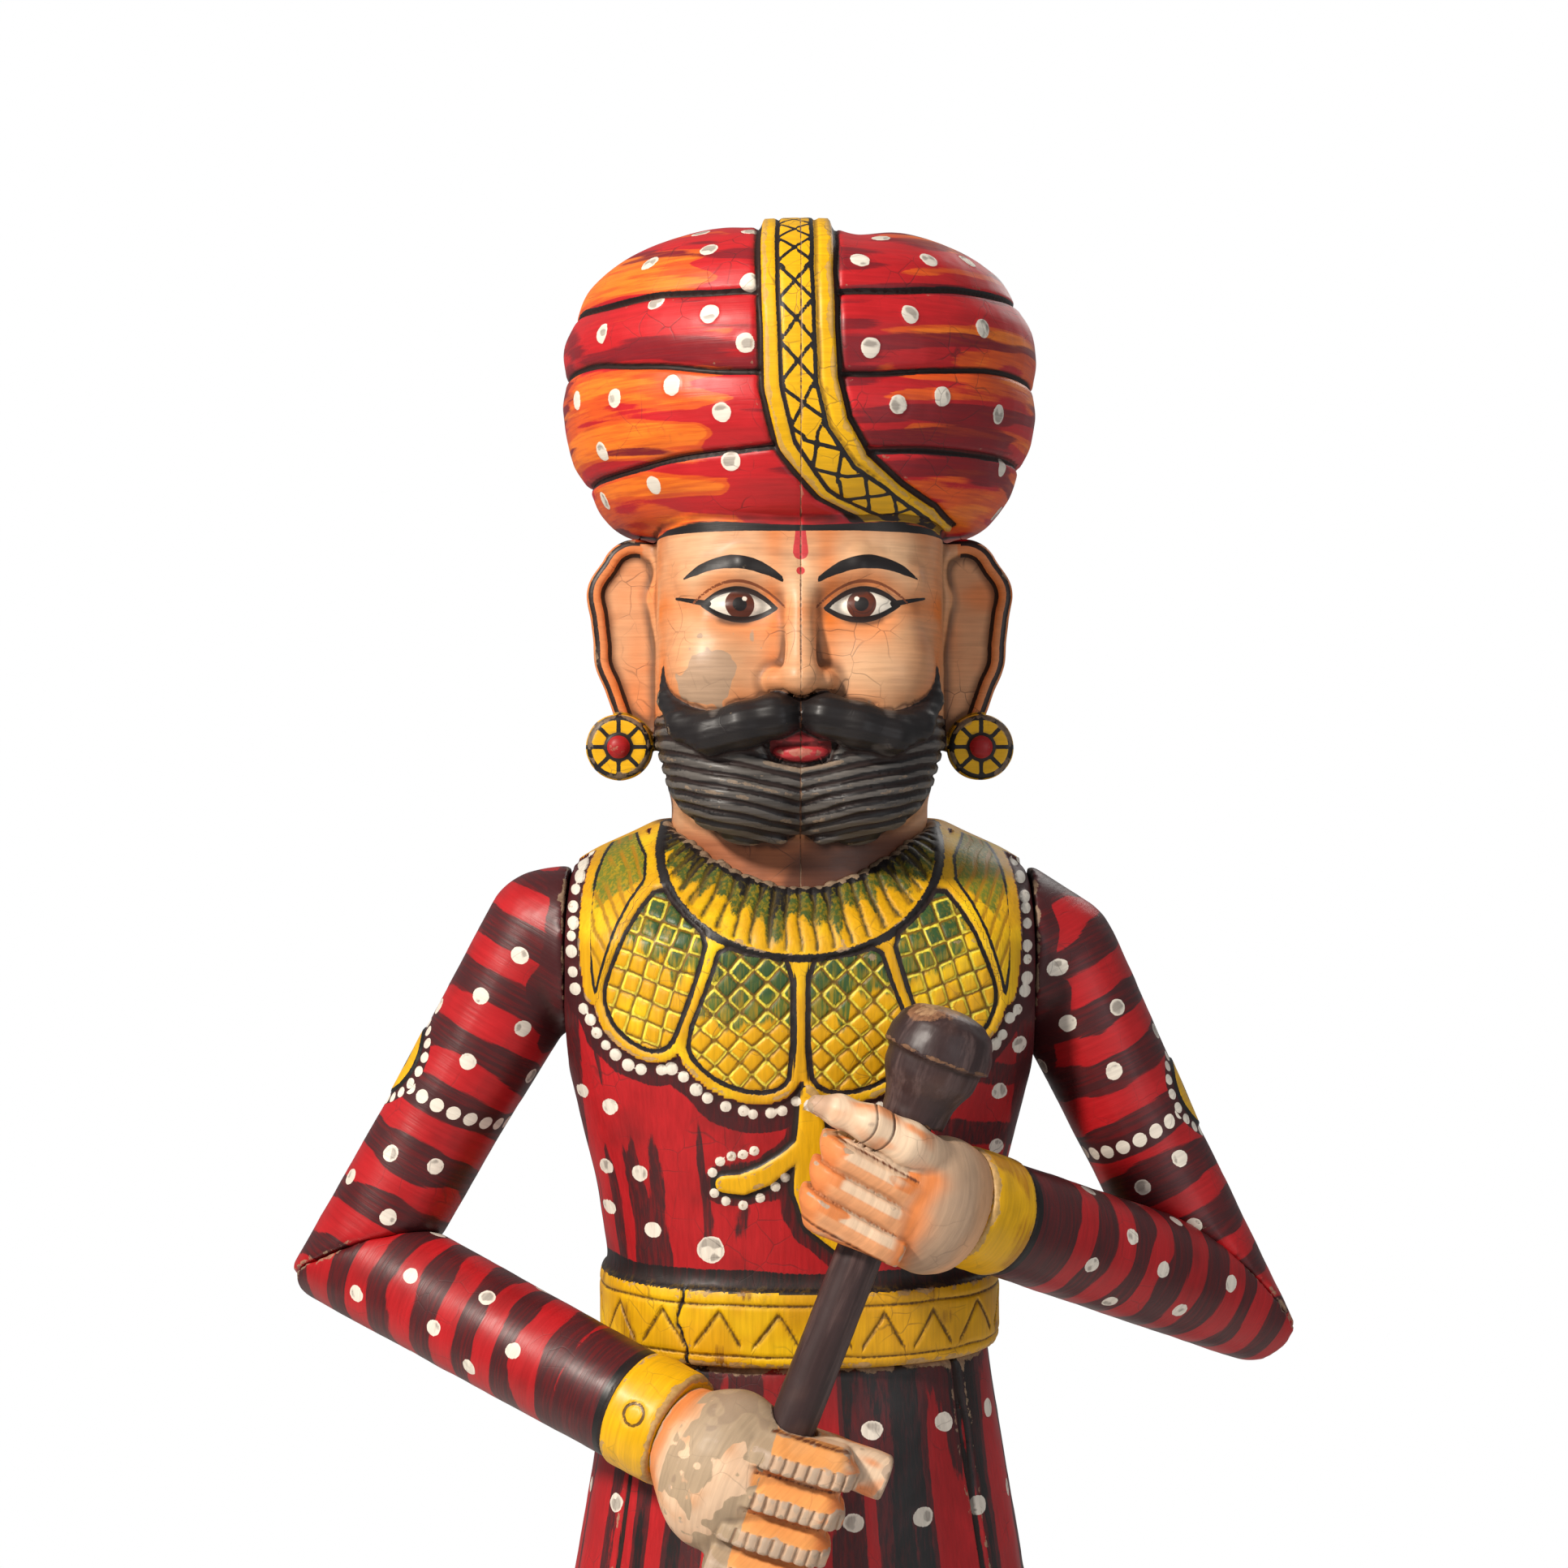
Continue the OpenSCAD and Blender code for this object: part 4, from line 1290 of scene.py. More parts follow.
def collar_layers(p, m, shade):
    """Green strokes, net, hatching, outlines and ribs of the collar. Each scored net line gets a painted
    shade line in it and a painted highlight beside it.
    """
    x, z = p[:, 0], p[:, 2]
    collar, petals, side, ring, neck = (m[key] for key in ("collar", "petals", "side", "ring", "neck"))
    front = only(m["front"] > 0.5)
    on_collar = least(collar, front)
    below_ring = least(on_collar, -ring)
    on_petals = least(petals - 2.5, below_ring)
    wedge, greens = collar_greens(p, m, shade, front)
    ribs = stripes(m["turn"] + 0.02 * noise(p, 12, 9), RIB_TURN) * NECK_R
    wedge = 3.1 * fade(wedge, 0, 17) - np.abs(ribs)
    hatch = stripes(np.abs(x) * 0.9 - z * 0.42 + 2 * noise(p, 16, 67), 6.5)
    hatch_area = least(side - 1.5, 4 * noise(p, 20, 71) + 1.6, below_ring)
    side_rim = np.where(side > petals, side - 1, FAR)
    centre = least(only(ring < 1) - most(0, np.abs(x) - 6), collar - 4, front)
    nape_shade = 4.5 - neck + 1.5 * noise(p, 8, 69) + 2.5 * (m["front"] > 0.5)
    return greens + [
        line(hatch, 0.9, "A8780C", hatch_area, 0.7, 0.4, 0.3, 0.8),
        # Painted shade in the scored net: a dark ochre line down each groove.
        line(m["net"], 0.85, "7E5A08", on_petals, 0.35, 0.3, 0.3, 1.6),
        # A painted highlight: a pale yellow line along one side of each net groove.
        line(m["net"] - 0.7, 0.5, "F4E04A", on_petals, 0.3, 0.25, 0.15),
        line(side_rim, 0.8, BLACK, least(below_ring, 111 - np.abs(x)), 0.5),
        line(petals - 1.2, 1.25, BLACK, least(below_ring, collar - 3.4), 0.6, 0.15, 0.0, 1.2),
        line(np.abs(x - 0.4) - 3.0, 1.0, BLACK, centre, 0.5, 0.15, 0.0, 1.0),
        line(ring - 0.5, 2.1, BLACK, front, 0.7, 0.2),
        layer(least(wedge, ring - 1, on_collar), BLACK, 0.7, 0.3, 0.2),
        line(ribs, 0.5, "5A4A10", least(ring - 4, on_collar), 0.5, 0.4, 0.3, 1.4),
        layer(least(nape_shade, collar), BLACK, 0.9, 0.3),
    ]


def cloth_layers(p, m, shade):
    """Dark strokes and white dots of the red cloth between the collar and the belt. More dark strokes at the
    sides and maroon under the arms are painted shade, and the black band above the belt reaches down to its
    edge as painted shadow.
    """
    x, z = p[:, 0], p[:, 2]
    run, collar, ribbon = m["run"], m["collar"], m["ribbon"]
    up = z - BELT_TOP
    above_belt = only(up > -1.5)
    on_cloth = least(above_belt, only(collar <= 0))
    spikes = noise(stretched(run, z * 0.07), 8, 61) + 0.5 * noise(stretched(run, z * 0.1), 4, 62)
    # More strokes towards the sides, as painted shade where the body turns away.
    spikes += 0.8 * fade(105 - up, 0, 70) * fade(np.abs(run), 30, 80) + 0.2 * fade(shade, 0, 0.6) - 0.85
    # Painted shade under the arms: maroon on the torso's sides below the shoulders.
    armpit = 12 * (fade(np.abs(x), 104, 126) * fade(CHEST - 16 - z, 0, 30) - 0.55) + 4 * noise(p, 22, 63)
    smear = 6 - np.abs(x - 4 - 0.62 * (46 - up)) + 2 * noise(p, 12, 72)
    smear = least(smear, up - 8, 46 - up)
    bars = 6 - np.abs(stripes(up - 22 + 0.12 * x + 3 * noise(p, 20, 73), 34))
    bars = least(bars, x - 66 + 8 * noise(p, 18, 74))
    back_dots = [(bx + 24 * (row % 2), 25 + 45 * row) for row in range(4) for bx in range(-96, 97, 48)]
    flat = stretched(x, up)
    dots = most(-FAR, dots_at(flat, [((bx, bz), r) for bx, bz, r in BELLY_DOTS]))
    dots = np.where(m["front"] > 0.5, dots, dots_at(flat, [(place, BACK_DOT) for place in back_dots]))
    return [
        layer(least(most(6 * spikes, armpit), on_cloth), MAROON, 0.9, 0.3, 0.25),
        layer(least(most(smear, bars), on_cloth), MAROON, 0.9, 0.4, 0.3),
        layer(least(13 + collar + 3.5 * noise(p, 15, 64), on_cloth), "3F161A", 0.7, 0.3, 0.15),
        layer(least(7 + ribbon + 4 * noise(p, 12, 70), on_cloth), "3F161A", 0.8, 0.3, 0.3),
        # A black painted band over the belt, carried down to the belt's top edge as painted shadow in the gap
        # there.
        layer(least(9.5 + 2.4 * noise(p, 30, 66) - up, above_belt), BLACK, 0.6, 0.25, 0.1),
        layer(least(ribbon + 2.8, above_belt, only(collar < 2)), BLACK, 0.7),
        layer(least(ribbon, above_belt), YELLOW, 0.3),
        *dot_coats(p, least(dots, -collar, -ribbon, above_belt)),
    ]


def make_torso():
    piece = carve_torso()
    p = points_of(piece)
    m = torso_marks(p)
    shade = clouds(p, 22, 17)
    tooth, level, crack, area = belt_marks(p, m["run"])
    belt = BELT_TOP - 0.5 - p[:, 2]
    layers = cloth_layers(p, m, shade) + collar_layers(p, m, shade) + [
        layer(least(m["bead"], only(m["collar"] < 3)), WHITE, 0.2),
        line(tooth, 0.55, SCORED, least(belt, area), 0.5, 0.3, 0.4, 1.8),
        line(level, 0.5, SCORED, belt, 0.5, 0.3, 0.5, 1.8),
        line(crack, 0.9, BLACK, belt, 0.3, 0.2, 0.0, 2.0),
        layer(least(belt, 4 * noise(p, 14, 75) - 2.6), "8A5A12", 0.9, 0.5, 0.6),
    ]
    colour = torso_ground(p, m, shade)
    finish(piece, "torso", "robe_paint", colour, layers, upright_strokes, rough=0.42, chips=0.4, crackle=0.5)


def skirt_dots(p):
    """Rows of dots round the skirt, round where the cone's side faces and a little stretched across."""
    x, y, z = p.T
    dots = np.full(len(p), -FAR)
    count = 16
    for row in range(6):
        level = BELT_Z - 33 - 46 * row
        down = (SKIRT_HIGH[2] - level) / (SKIRT_HIGH[2] - SKIRT_LOW[2])
        deep, wide = mix(82, 140, down), mix(104, 172, down)
        for k in range(count):
            turn = 2 * math.pi * (k + 0.5 * (row % 2) + 0.12 * math.sin(5 * k + row)) / count
            near = np.hypot(x - wide * math.sin(turn), y + deep * math.cos(turn))
            dots = most(dots, 5.1 - np.hypot(most(near - 9, 0) + 0.85 * least(near, 9), z - level))
    return dots


def skirt_marks(p):
    """Turn round the skirt, height above the hem, distance from the cuts, and the hem's teeth and lines."""
    x, y, z = p.T
    turn, reach = np.arctan2(x, -y), np.hypot(x, y)
    gap = np.full(len(p), NEVER)
    for degrees in PANEL_CUTS:
        off = np.abs(wrapped(turn - math.radians(degrees))) * reach
        gap = least(gap, np.abs(off + 2.5 * noise(p, 40, 71)))
    up = z - HEM_Z
    tooth, area = teeth(turn * HEM_R, up, 9, 27, 29.45, 0.9)
    return turn, up, gap, tooth, area, either(up - 5, up - 31)


def carve_skirt(piece, p):
    """Upright cuts between the panels, and a raised, scored hem."""
    _, up, gap, tooth, area, level = skirt_marks(p)
    rim = fade(np.hypot(p[:, 0], p[:, 1]), 60, 80)
    on_hem = fade(HEM_TOP + 1 - up, 0, 2) * rim
    scored = least(np.abs(level), np.abs(tooth) + FAR * (area < 0))
    depth = 0.6 * clouds(p, 26, 72) - 2.6 * rim * bump(gap, 1.6) * (1 - on_hem)
    push(piece, depth + on_hem * (1.4 - 1.4 * bump(scored, 1.1)))


def make_skirt():
    piece = from_frame("skirt", 3.9, 4)
    p = points_of(piece)
    z = p[:, 2]
    carve_skirt(piece, p)
    turn, up, gap, tooth, area, level = skirt_marks(p)
    hem = HEM_TOP - up
    shade = clouds(p, 30, 73)
    # Painted shade under the belt: the red turns maroon towards the skirt's top.
    red = coat(RED, (CRIMSON, 0.5 + 0.4 * shade), (MAROON, 0.55 * fade(z, BELT_Z - 55, BELT_Z - 5)))
    yellow = coat(YELLOW, (OCHRE, 0.35 + 0.4 * shade))
    colour = np.where((hem > 0)[:, None], yellow, red)
    arc = turn * 110
    folds = noise(stretched(arc, z * 0.045), 11, 74) + 0.45 * noise(stretched(arc, z * 0.06), 5, 75)
    # More dark fold strokes towards the top, as painted shade under the belt, and more beside the panel cuts.
    folds = folds - 0.05 + 0.5 * fade(z, BELT_Z - 70, BELT_Z) + 0.5 * bump(gap, 7)
    off_hem = only(hem < -1)
    above_hem = up - HEM_TOP - 7  # from the middle of its row of beads
    layers = [
        layer(least(7 * folds, off_hem), MAROON, 0.9, 0.3, 0.2),
        layer(least(6 * (folds - 0.62), off_hem), BLACK, 0.9, 0.4, 0.3),
        layer(least(1.5 - gap, off_hem), BLACK, 0.6),
        *dot_coats(p, least(skirt_dots(p), off_hem)),
        layer(5.5 - np.abs(above_hem), MAROON, 0.5),
        layer(3.4 - np.hypot(repeat(turn * HEM_R, 9.0), above_hem), WHITE, 0.2),
        line(hem, 1.6, BLACK, FAR, 0.4),
        line(tooth, 0.6, SCORED, least(hem, area), 0.5, 0.3, 0.3, 1.6),
        line(level, 0.6, SCORED, hem, 0.5, 0.3, 0.3, 1.6),
    ]
    looks = {"rough": 0.42, "chips": 0.45, "crackle": 0.45}
    finish(piece, "skirt", "robe_paint", colour, layers, upright_strokes, **looks)


# ---------------------------------------------------------------- arms

ARM_R = 31
SHOULDER_SEAM = 127  # from the middle, to the line where each arm is glued on
CUFF = 30  # length of the raised cuff
BEAD_PITCH = 9.74  # of the beads round the upper arm
RIM_PITCH = 8.1  # of the beads round its medal
RIM_BEADS = 19
SHOULDERS = {side: middle("shoulder_dowels", side) + [side * 13, 0, 0] for side in SIDE_NAMES}
ELBOWS = {side: middle("elbow_dowels", side) for side in SIDE_NAMES}
RUNS = {side: unit(middle("wrist_dowels", side) - ELBOWS[side]) for side in SIDE_NAMES}


def wrist_of(side):
    """Where a forearm's axis ends."""
    p = points_of(frame["nodes"][SIDE_NAMES[side] + "_forearm"])
    return ELBOWS[side] + RUNS[side] * float(((p - ELBOWS[side]) @ RUNS[side]).max())


WRISTS = {side: wrist_of(side) for side in SIDE_NAMES}

# White dots on each arm: how far along it, and the turn from its front in degrees
UPPER_ARM_DOTS = [
    (14, 10), (48, -26), (44, 24), (78, 4), (62, 75), (70, -70), (136, -20), (142, 26), (166, 60), (172, -4),
    (120, 150), (80, 140), (40, 170), (150, -120), (100, -140), (60, -150)
]
FOREARM_DOTS = [
    (24, 20), (52, -22), (78, 12), (98, -40), (104, 34), (128, -6), (14, 80), (60, 75), (92, 110), (128, 80),
    (40, 150), (80, 170), (116, 160), (40, -90), (76, -110), (112, -100), (60, -150)
]


def limb_axes(start, end):
    """Axis of a limb, and the two directions across it: front and outer."""
    axis = unit(end - start)
    across = unit(np.cross(axis, [0, -1, 0]))
    return axis, np.cross(across, axis), across


def round_limb(p, start, end):
    """How far along a limb each point lies, and its turn about the axis from the front."""
    axis, front, across = limb_axes(start, end)
    q = p - start
    return q @ axis, np.arctan2(q @ across, q @ front)


def bands(run, turn, period, seed):
    """Dark bands painted across a limb."""
    q = stretched(np.cos(turn) * 20, np.sin(turn) * 20, run)
    wander = 4.5 * noise(q, 21, seed) + 1.6 * noise(q, 8, seed + 50) + 3.0 * np.sin(turn + seed)
    return 4.2 * np.sin(2 * math.pi * (run + wander) / period) + 2.2 * noise(q, 32, seed + 51) + 0.2


def limb_dots(run, turn, places, r):
    marks = (r - np.hypot(run - along, wrapped(turn - math.radians(at)) * ARM_R) for along, at in places)
    return reduce(np.maximum, marks)


def finish_arm(piece, node, p, seed, layers, axis):
    shade = clouds(p, 24, seed)
    colour = coat(RED, (CRIMSON, 0.5 + 0.5 * shade), (MAROON, 0.25 * fade(-shade, 0.1, 0.7)))
    looks = {"rough": 0.36, "chips": 0.42, "crackle": 0.35}
    finish(piece, node, "robe_paint", colour, layers, cross_strokes(axis), **looks)


def make_upper_arm(side):
    name = SIDE_NAMES[side] + "_upper_arm"
    start, end = SHOULDERS[side], ELBOWS[side]
    piece = from_frame(name, 2.9, 5)
    p = points_of(piece)
    run, turn = round_limb(p, start, end)
    axis, front, across = limb_axes(start, end)
    # A round medal on the arm's outer side, on a string of beads, with smaller beads round its rim
    bead_run = 101.0 if side < 0 else 112.0
    out_turn = math.atan2(side * across[0], side * front[0])
    up, sideways = run - bead_run + 4, wrapped(turn - out_turn) * ARM_R
    medal = np.hypot(up, sideways)
    push(piece, 0.55 * clouds(p, 24, 81) + fade(20 - medal, -0.6, 0.8))
    string = run - bead_run - 6 * np.cos(turn - 0.4)
    beads = 3.8 - np.hypot(repeat(turn * ARM_R, BEAD_PITCH), string)
    rim_run = np.arctan2(up, sideways) / (2 * math.pi) * RIM_BEADS * RIM_PITCH
    rim_beads = 3.0 - np.hypot(medal - 24.5, repeat(rim_run, RIM_PITCH))
    seam = np.abs(np.abs(p[:, 0]) - SHOULDER_SEAM)
    layers = [
        layer(bands(run, turn, 33, 3 + side), MAROON, 0.9, 0.3, 0.2),
        layer(least(13 + 10 * noise(p, 16, 84) - seam, 6 * noise(p, 18, 83) + 4), MAROON, 0.9, 0.4, 0.2),
        *dot_coats(p, limb_dots(run, turn, UPPER_ARM_DOTS, 4.5)),
        layer(least(6.0 - np.abs(string), medal - 24), MAROON, 0.8, 0.3),
        layer(least(beads, medal - 24), WHITE, 0.2),
        layer(27.5 - medal, MAROON, 0.5),
        layer(rim_beads, WHITE, 0.2),
        layer(21 - medal, BLACK, 0.3),
        layer(18.5 - medal, YELLOW, 0.3),
        layer(8.5 - medal, BLACK, 0.3),
        layer(1.2 - seam, "241210", 0.3),
    ]
    finish_arm(piece, name, p, 82, layers, axis)


def make_forearm(side):
    name = SIDE_NAMES[side] + "_forearm"
    start, end = ELBOWS[side], WRISTS[side]
    length = float(np.linalg.norm(end - start))
    piece = from_frame(name, 2.9, 4)
    p = points_of(piece)
    run, turn = round_limb(p, start, end)
    # A raised cuff, with a scored ring on the right one
    cuff = run - (length - CUFF)
    button = np.hypot(run - length + 14, wrapped(turn + 0.15) * 30) if side < 0 else 99.0
    depth = 0.5 * clouds(p, 24, 91) + 1.7 * fade(cuff, -0.8, 0.8) - 1.2 * bump(cuff, 1.0)
    depth = depth - 0.9 * bump(button - 5.5, 0.8) + 0.4 * noise(p, 9, 92) * (cuff > 0)
    push(piece, depth * fade(length - run, 0.1, 1.5))
    layers = [
        layer(most(bands(run, turn, 29, 11 + side), least(cuff + 32, FAR)), MAROON, 0.9, 0.3, 0.2),
        *dot_coats(p, limb_dots(run, turn, FOREARM_DOTS, 4.4)),
        layer(cuff + 5.5, BLACK, 0.5),
        layer(cuff - 0.5, YELLOW, 0.15),
        layer(least(5 * noise(p, 16, 93) - 2.2, cuff - 1), OCHRE, 0.9, 0.5, 0.5),
        layer(least(0.8 - np.abs(button - 5.5), cuff - 1), SCORED, 0.3),
    ]
    finish_arm(piece, name, p, 94, layers, RUNS[side])


# ---------------------------------------------------------------- hands

# Each hand in the grip's own frame: first towards the finger tips, then to the back, then up the mace.
# facets are the planes of a finger's ridge: across it, to the back, and where each starts across it.
HANDS = {
    -1: {
        "back": ((-24, 2, 3), (33, 29, 41)), "fingers": (26, 5.5, -14, -33), "pitch": 19.7, "front": 30.0,
        "foot": 21.0, "tip": 39.0, "tilt": 0.08, "facets": ((0.763, 0.648, 0.05), (-0.98, 0.196, -0.35)),
        "ends": (-42, 36)
    },
    1: {
        "back": ((-25, 3, 1), (29, 27, 35)), "fingers": (7.5, -6.5, -21), "pitch": 14.4, "front": 29.0,
        "foot": 25.4, "tip": 40.0, "tilt": 0.13, "facets": ((0.96, 0.28, 0.38), (-0.555, 0.832, -0.05)),
        "ends": (-31, 17)
    },
}


def in_grip(side):
    """Function that gives points in a hand's grip frame, which is level with the middle of the CAD fist."""
    fist = points_of(frame["nodes"][SIDE_NAMES[side] + "_hand"]) - MACE_FOOT
    runs = fist[np.linalg.norm(np.cross(fist, MACE_DIR), axis=1) < SHAFT_R + 2] @ MACE_DIR
    grip = MACE_FOOT + MACE_DIR * float(runs.min() + runs.max()) / 2
    tips = unit(np.cross([0, 1, 0], MACE_DIR)) * -side
    return lambda p: stretched((p - grip) @ tips, (p - grip)[:, 1], (p - grip) @ MACE_DIR)


def slab(q, low, high, r):
    """Rounded rectangle in the first two directions."""
    low, high = np.array(low, float), np.array(high, float)
    gap = np.abs(q[:, :2] - (low + high) / 2) - (high - low) / 2 + r
    return np.linalg.norm(np.maximum(gap, 0), axis=1) + np.minimum(gap.max(1), 0) - r


def up_hand(q, side):
    """Height up the mace, on the slant at which the fingers lie."""
    return q[:, 2] - HANDS[side]["tilt"] * (q[:, 0] - 10)


def ridges(q, side):
    """Faceted finger ridges round the front of the shaft."""
    facts = HANDS[side]
    pitch = facts["pitch"]
    front = slab(q, (-46, -facts["front"]), (facts["tip"], 20), 16) + 0.3 * np.maximum(0, -4 - q[:, 0])
    fingers = []
    for centre in facts["fingers"]:
        v = up_hand(q, side) - centre
        finger = most(front, np.abs(v) - pitch / 2 - 0.4)
        for across, back, start in facts["facets"]:
            finger = soft_max(finger, across * (v - start * pitch) + back * front, 1.5)
        fingers.append(finger)
    return soft_max(reduce(lambda a, b: soft_min(a, b, 0.8), fingers), -18 - q[:, 0], 2.5)


def thumb(q, side):
    if side < 0:
        up, out = np.abs(q[:, 2] - 27 - 0.02 * q[:, 0]), np.abs(q[:, 1] - 5)
        stick = soft_max(most(up - 11, out - 12), np.abs(q[:, 2] - 27) + out - 18, 4)
        return soft_max(stick, np.abs(q[:, 0] - 20) - 33.5, 1.5)
    return chain(q, [
        ((-24, -4, 20), 13), ((0, -17, 27), 11), ((20, -20, 30), 9.5), ((37, -17, 30), 7.8),
        ((48, -14, 28.5), 5)
    ], 4)


def make_hand(side):
    name = SIDE_NAMES[side] + "_hand"
    facts = HANDS[side]
    local, wrist, run = in_grip(side), WRISTS[side], RUNS[side]
    start = local((wrist + run * 4)[None])[0]
    low_end, high_end = facts["ends"]

    def field(p):
        q = local(p)
        body = egg(q, *facts["back"])
        body = soft_min(body, bar(q, start, facts["back"][0], 25, 27), 12)
        block = slab(q, (-18, -facts["foot"]), (facts["tip"] - 9 + facts["foot"] / 6, 19), 12)
        block = soft_max(block, most(low_end - q[:, 2], q[:, 2] - high_end - 0.08 * q[:, 0]), 8)
        body = soft_min(body, block, 6)
        body = soft_min(body, ridges(q, side), 1.2)
        body = soft_min(body, thumb(q, side), 1.5)
        body = soft_max(body, SHAFT_R + 0.7 - np.hypot(q[:, 0], q[:, 1]), 0.8)
        return most(body, (wrist - p) @ run)

    low, high = corners(name)
    piece = from_field(name + "_carved", field, low - 14, high + 14, 2.0)
    carve_hand(piece, local, side)
    paint_hand(piece, name, local, side)


def finger_marks(q, side):
    """Shares of a hand's surface: on the fingers, on their front faces, and on their sloping facets. Then how
    far across its finger each point lies, the finger's number, and the notches cut across it."""
    facts = HANDS[side]
    gaps = np.stack([up_hand(q, side) - centre for centre in facts["fingers"]], 1)
    number = np.abs(gaps).argmin(1)
    v = gaps[np.arange(len(q)), number] / facts["pitch"]
    knuckles = -12 + 2.5 * noise(q, 12, 96)
    fingers = fade(q[:, 0], knuckles, knuckles + 4) * fade(most(-q[:, 1], q[:, 0] - 20), 10, 15)
    fingers = fingers * fade(thumb(q, side), -0.5, 1.5)
    if side < 0:
        face, slope = fade(v, -0.42, -0.36) * fade(0.08 - v, -0.03, 0.03), fade(v, 0.03, 0.09)
    else:
        face, slope = fade(v, 0.0, 0.08), fade(0.02 - v, -0.04, 0.04) * fade(v, -0.5, -0.42)
    notch = stripes(q[:, 0] + 2.1 * number + 1.2 * noise(q, 12, 101), 6.2)
    return fingers, face * fingers, slope * fingers, v, number, notch


def carve_hand(piece, local, side):
    p = points_of(piece)
    q = local(p)
    _, face, _, _, _, notch = finger_marks(q, side)
    free = fade(np.hypot(q[:, 0], q[:, 1]) - SHAFT_R, 1.2, 3) * fade((p - WRISTS[side]) @ RUNS[side], 0.5, 3)
    depth = 0.5 * clouds(p, 13, 103) - (0.9 if side < 0 else 0.15) * face * bump(notch, 0.9)
    push(piece, depth * free)


def hand_ground(p, q, side, shade, rough_edge, fingers, on_thumb):
    """Ground colour of a hand: orange in the hollows, paler where it is rubbed."""
    orange, cream = rgb("E57F33"), rgb("EBCDAE")
    on_fingers, face, slope, _, number, _ = fingers
    wrist_run = (p - WRISTS[side]) @ RUNS[side]
    near_cuff = fade(16 - wrist_run + 4 * shade, 0, 10)
    if side < 0:
        colour = coat(SKIN, (cream, 0.75 * fade(-shade, -0.5, 0.3)), (orange, 0.75 * near_cuff),
                      (orange, 0.5 * fade(q[:, 2], 26, 44) * fade(shade, -0.3, 0.3)))
        face_tone, slope_tone = "CDAE92", "F0A55E"
        face = face * fade(rough_edge + 0.8, 0, 0.4)
    else:
        band = bump(q[:, 0] + 17 + 4 * shade, 7)
        colour = coat("B2947A", (cream, 0.7 * fade(q[:, 0], -24, -4)), ("E3A878", 0.6 * near_cuff),
                      (orange, 0.85 * band * fade(24 - q[:, 2], 0, 8)))
        face_tone, slope_tone = cream, "EDAA78"
        face = face * fade(16 - np.abs(q[:, 0] - 8 + 6 * (number - 1)) + 8 * rough_edge, 0, 2)
    colour = coat(
        colour, (orange, 0.85 * on_fingers * fade(shade + 0.4 * rough_edge, -0.7, -0.2)),
        (face_tone, 0.95 * face), (slope_tone, 0.9 * slope * fade(24 - np.abs(q[:, 0] - 8), 0, 6))
    )
    thumb_tone = coat(cream, (orange, 0.8 * fade(shade + 0.5 * rough_edge, -0.1, 0.5)),
                      ("BD9A80", fade(q[:, 0], 40, 45) * (side > 0)))
    return mix(colour, thumb_tone, on_thumb[:, None])


def bare_patch(p, q, side):
    """A mark where the paint is worn off the back of the right hand."""
    if side > 0:
        return np.full(len(p), -FAR)
    patch = 11 * (clouds(p * [1, 0.8, 1], 30, 108) + 0.22 * noise(p, 4, 106) + 0.04)
    return least(patch, 0.6 * (-8 - q[:, 0]), 0.6 * ((p - WRISTS[side]) @ RUNS[side] - 14))


def paint_hand(piece, name, local, side):
    p = points_of(piece)
    q = local(p)
    fingers = finger_marks(q, side)
    on_fingers, face, _, v, _, notch = fingers
    shade, rough_edge = clouds(p, 18, 104), noise(q * [0.35, 1, 1], 5, 105)
    on_thumb = fade(1.6 - thumb(q, side), 0, 0.8) * fade(q[:, 0], -16, -4)
    colour = hand_ground(p, q, side, shade, rough_edge, fingers, on_thumb)
    patch = bare_patch(p, q, side)
    edge = 6 * (-hollowness(piece, 12) - (0.4 if side < 0 else 0.8) + 0.35 * noise(p, 6, 108))
    between = HANDS[side]["pitch"] * (0.5 - np.abs(v)) + 0.4
    layers = [
        layer(patch, "B29A7E", 0.4, 0.15),
        layer(least(patch - 2.5, 5 * noise(p, 9, 109)), "A08972", 0.5, 0.4, 0.4),
        layer(edge, "BCA48E", 0.5, 0.25, 0.3),
        line(notch, 0.45, "8A6A52", 4 * (face - 0.55) - 9 * (side > 0), 0.6, 0.4, 0.4, 2.2),
        line(between, 0.5, "6A3A22", 5 * (on_fingers - 0.6), 0.7, 0.4, 0.35, 1.5),
    ]
    if side > 0:
        bent = q[:, 0] - 18 - 0.035 * (q[:, 2] - 30) ** 2
        layers.append(line(either(bent, bent + 9), 0.5, "5A3A28", 4 * (on_thumb - 0.7), 0.5, 0.3, 0.3, 2.0))
    # The hands get less darker brown in their hollows than the other pieces.
    looks = {"rough": 0.5, "chips": 0.3, "crackle": 0.25, "streaks": 0.25, "darkening": 0.4}
    finish(piece, name, "skin_paint", colour, layers, cross_strokes(RUNS[side]), **looks)


# ---------------------------------------------------------------- mace, legs and plinth


def mace_strokes(p):
    """Strokes that run along the mace."""
    across = np.cross(MACE_DIR, [0, 1, 0])
    return p * 0.06 + np.outer(p @ across, across) * 0.9 + p * [0, 0.9, 0]


def knob_depth(p, run):
    """A raised, rounded ridge round the knob, above a groove."""
    low = float(run.min())
    ridge = low + 33 + 1.5 * noise(p, 30, 115)
    depth = 0.8 * clouds(p, 13, 112) + 1.2 * fade(run - ridge, -1.2, 1) * fade(ridge + 15 - run, 0, 15)
    depth = depth - 1.7 * fade(ridge - run, -1, 1.2) * bump(ridge - run, 8)
    depth = depth + 0.16 * noise(stretched(run, p[:, 0] * 0.2), 3.2, 116)
    return depth * fade(run - low, 0.5, 3)


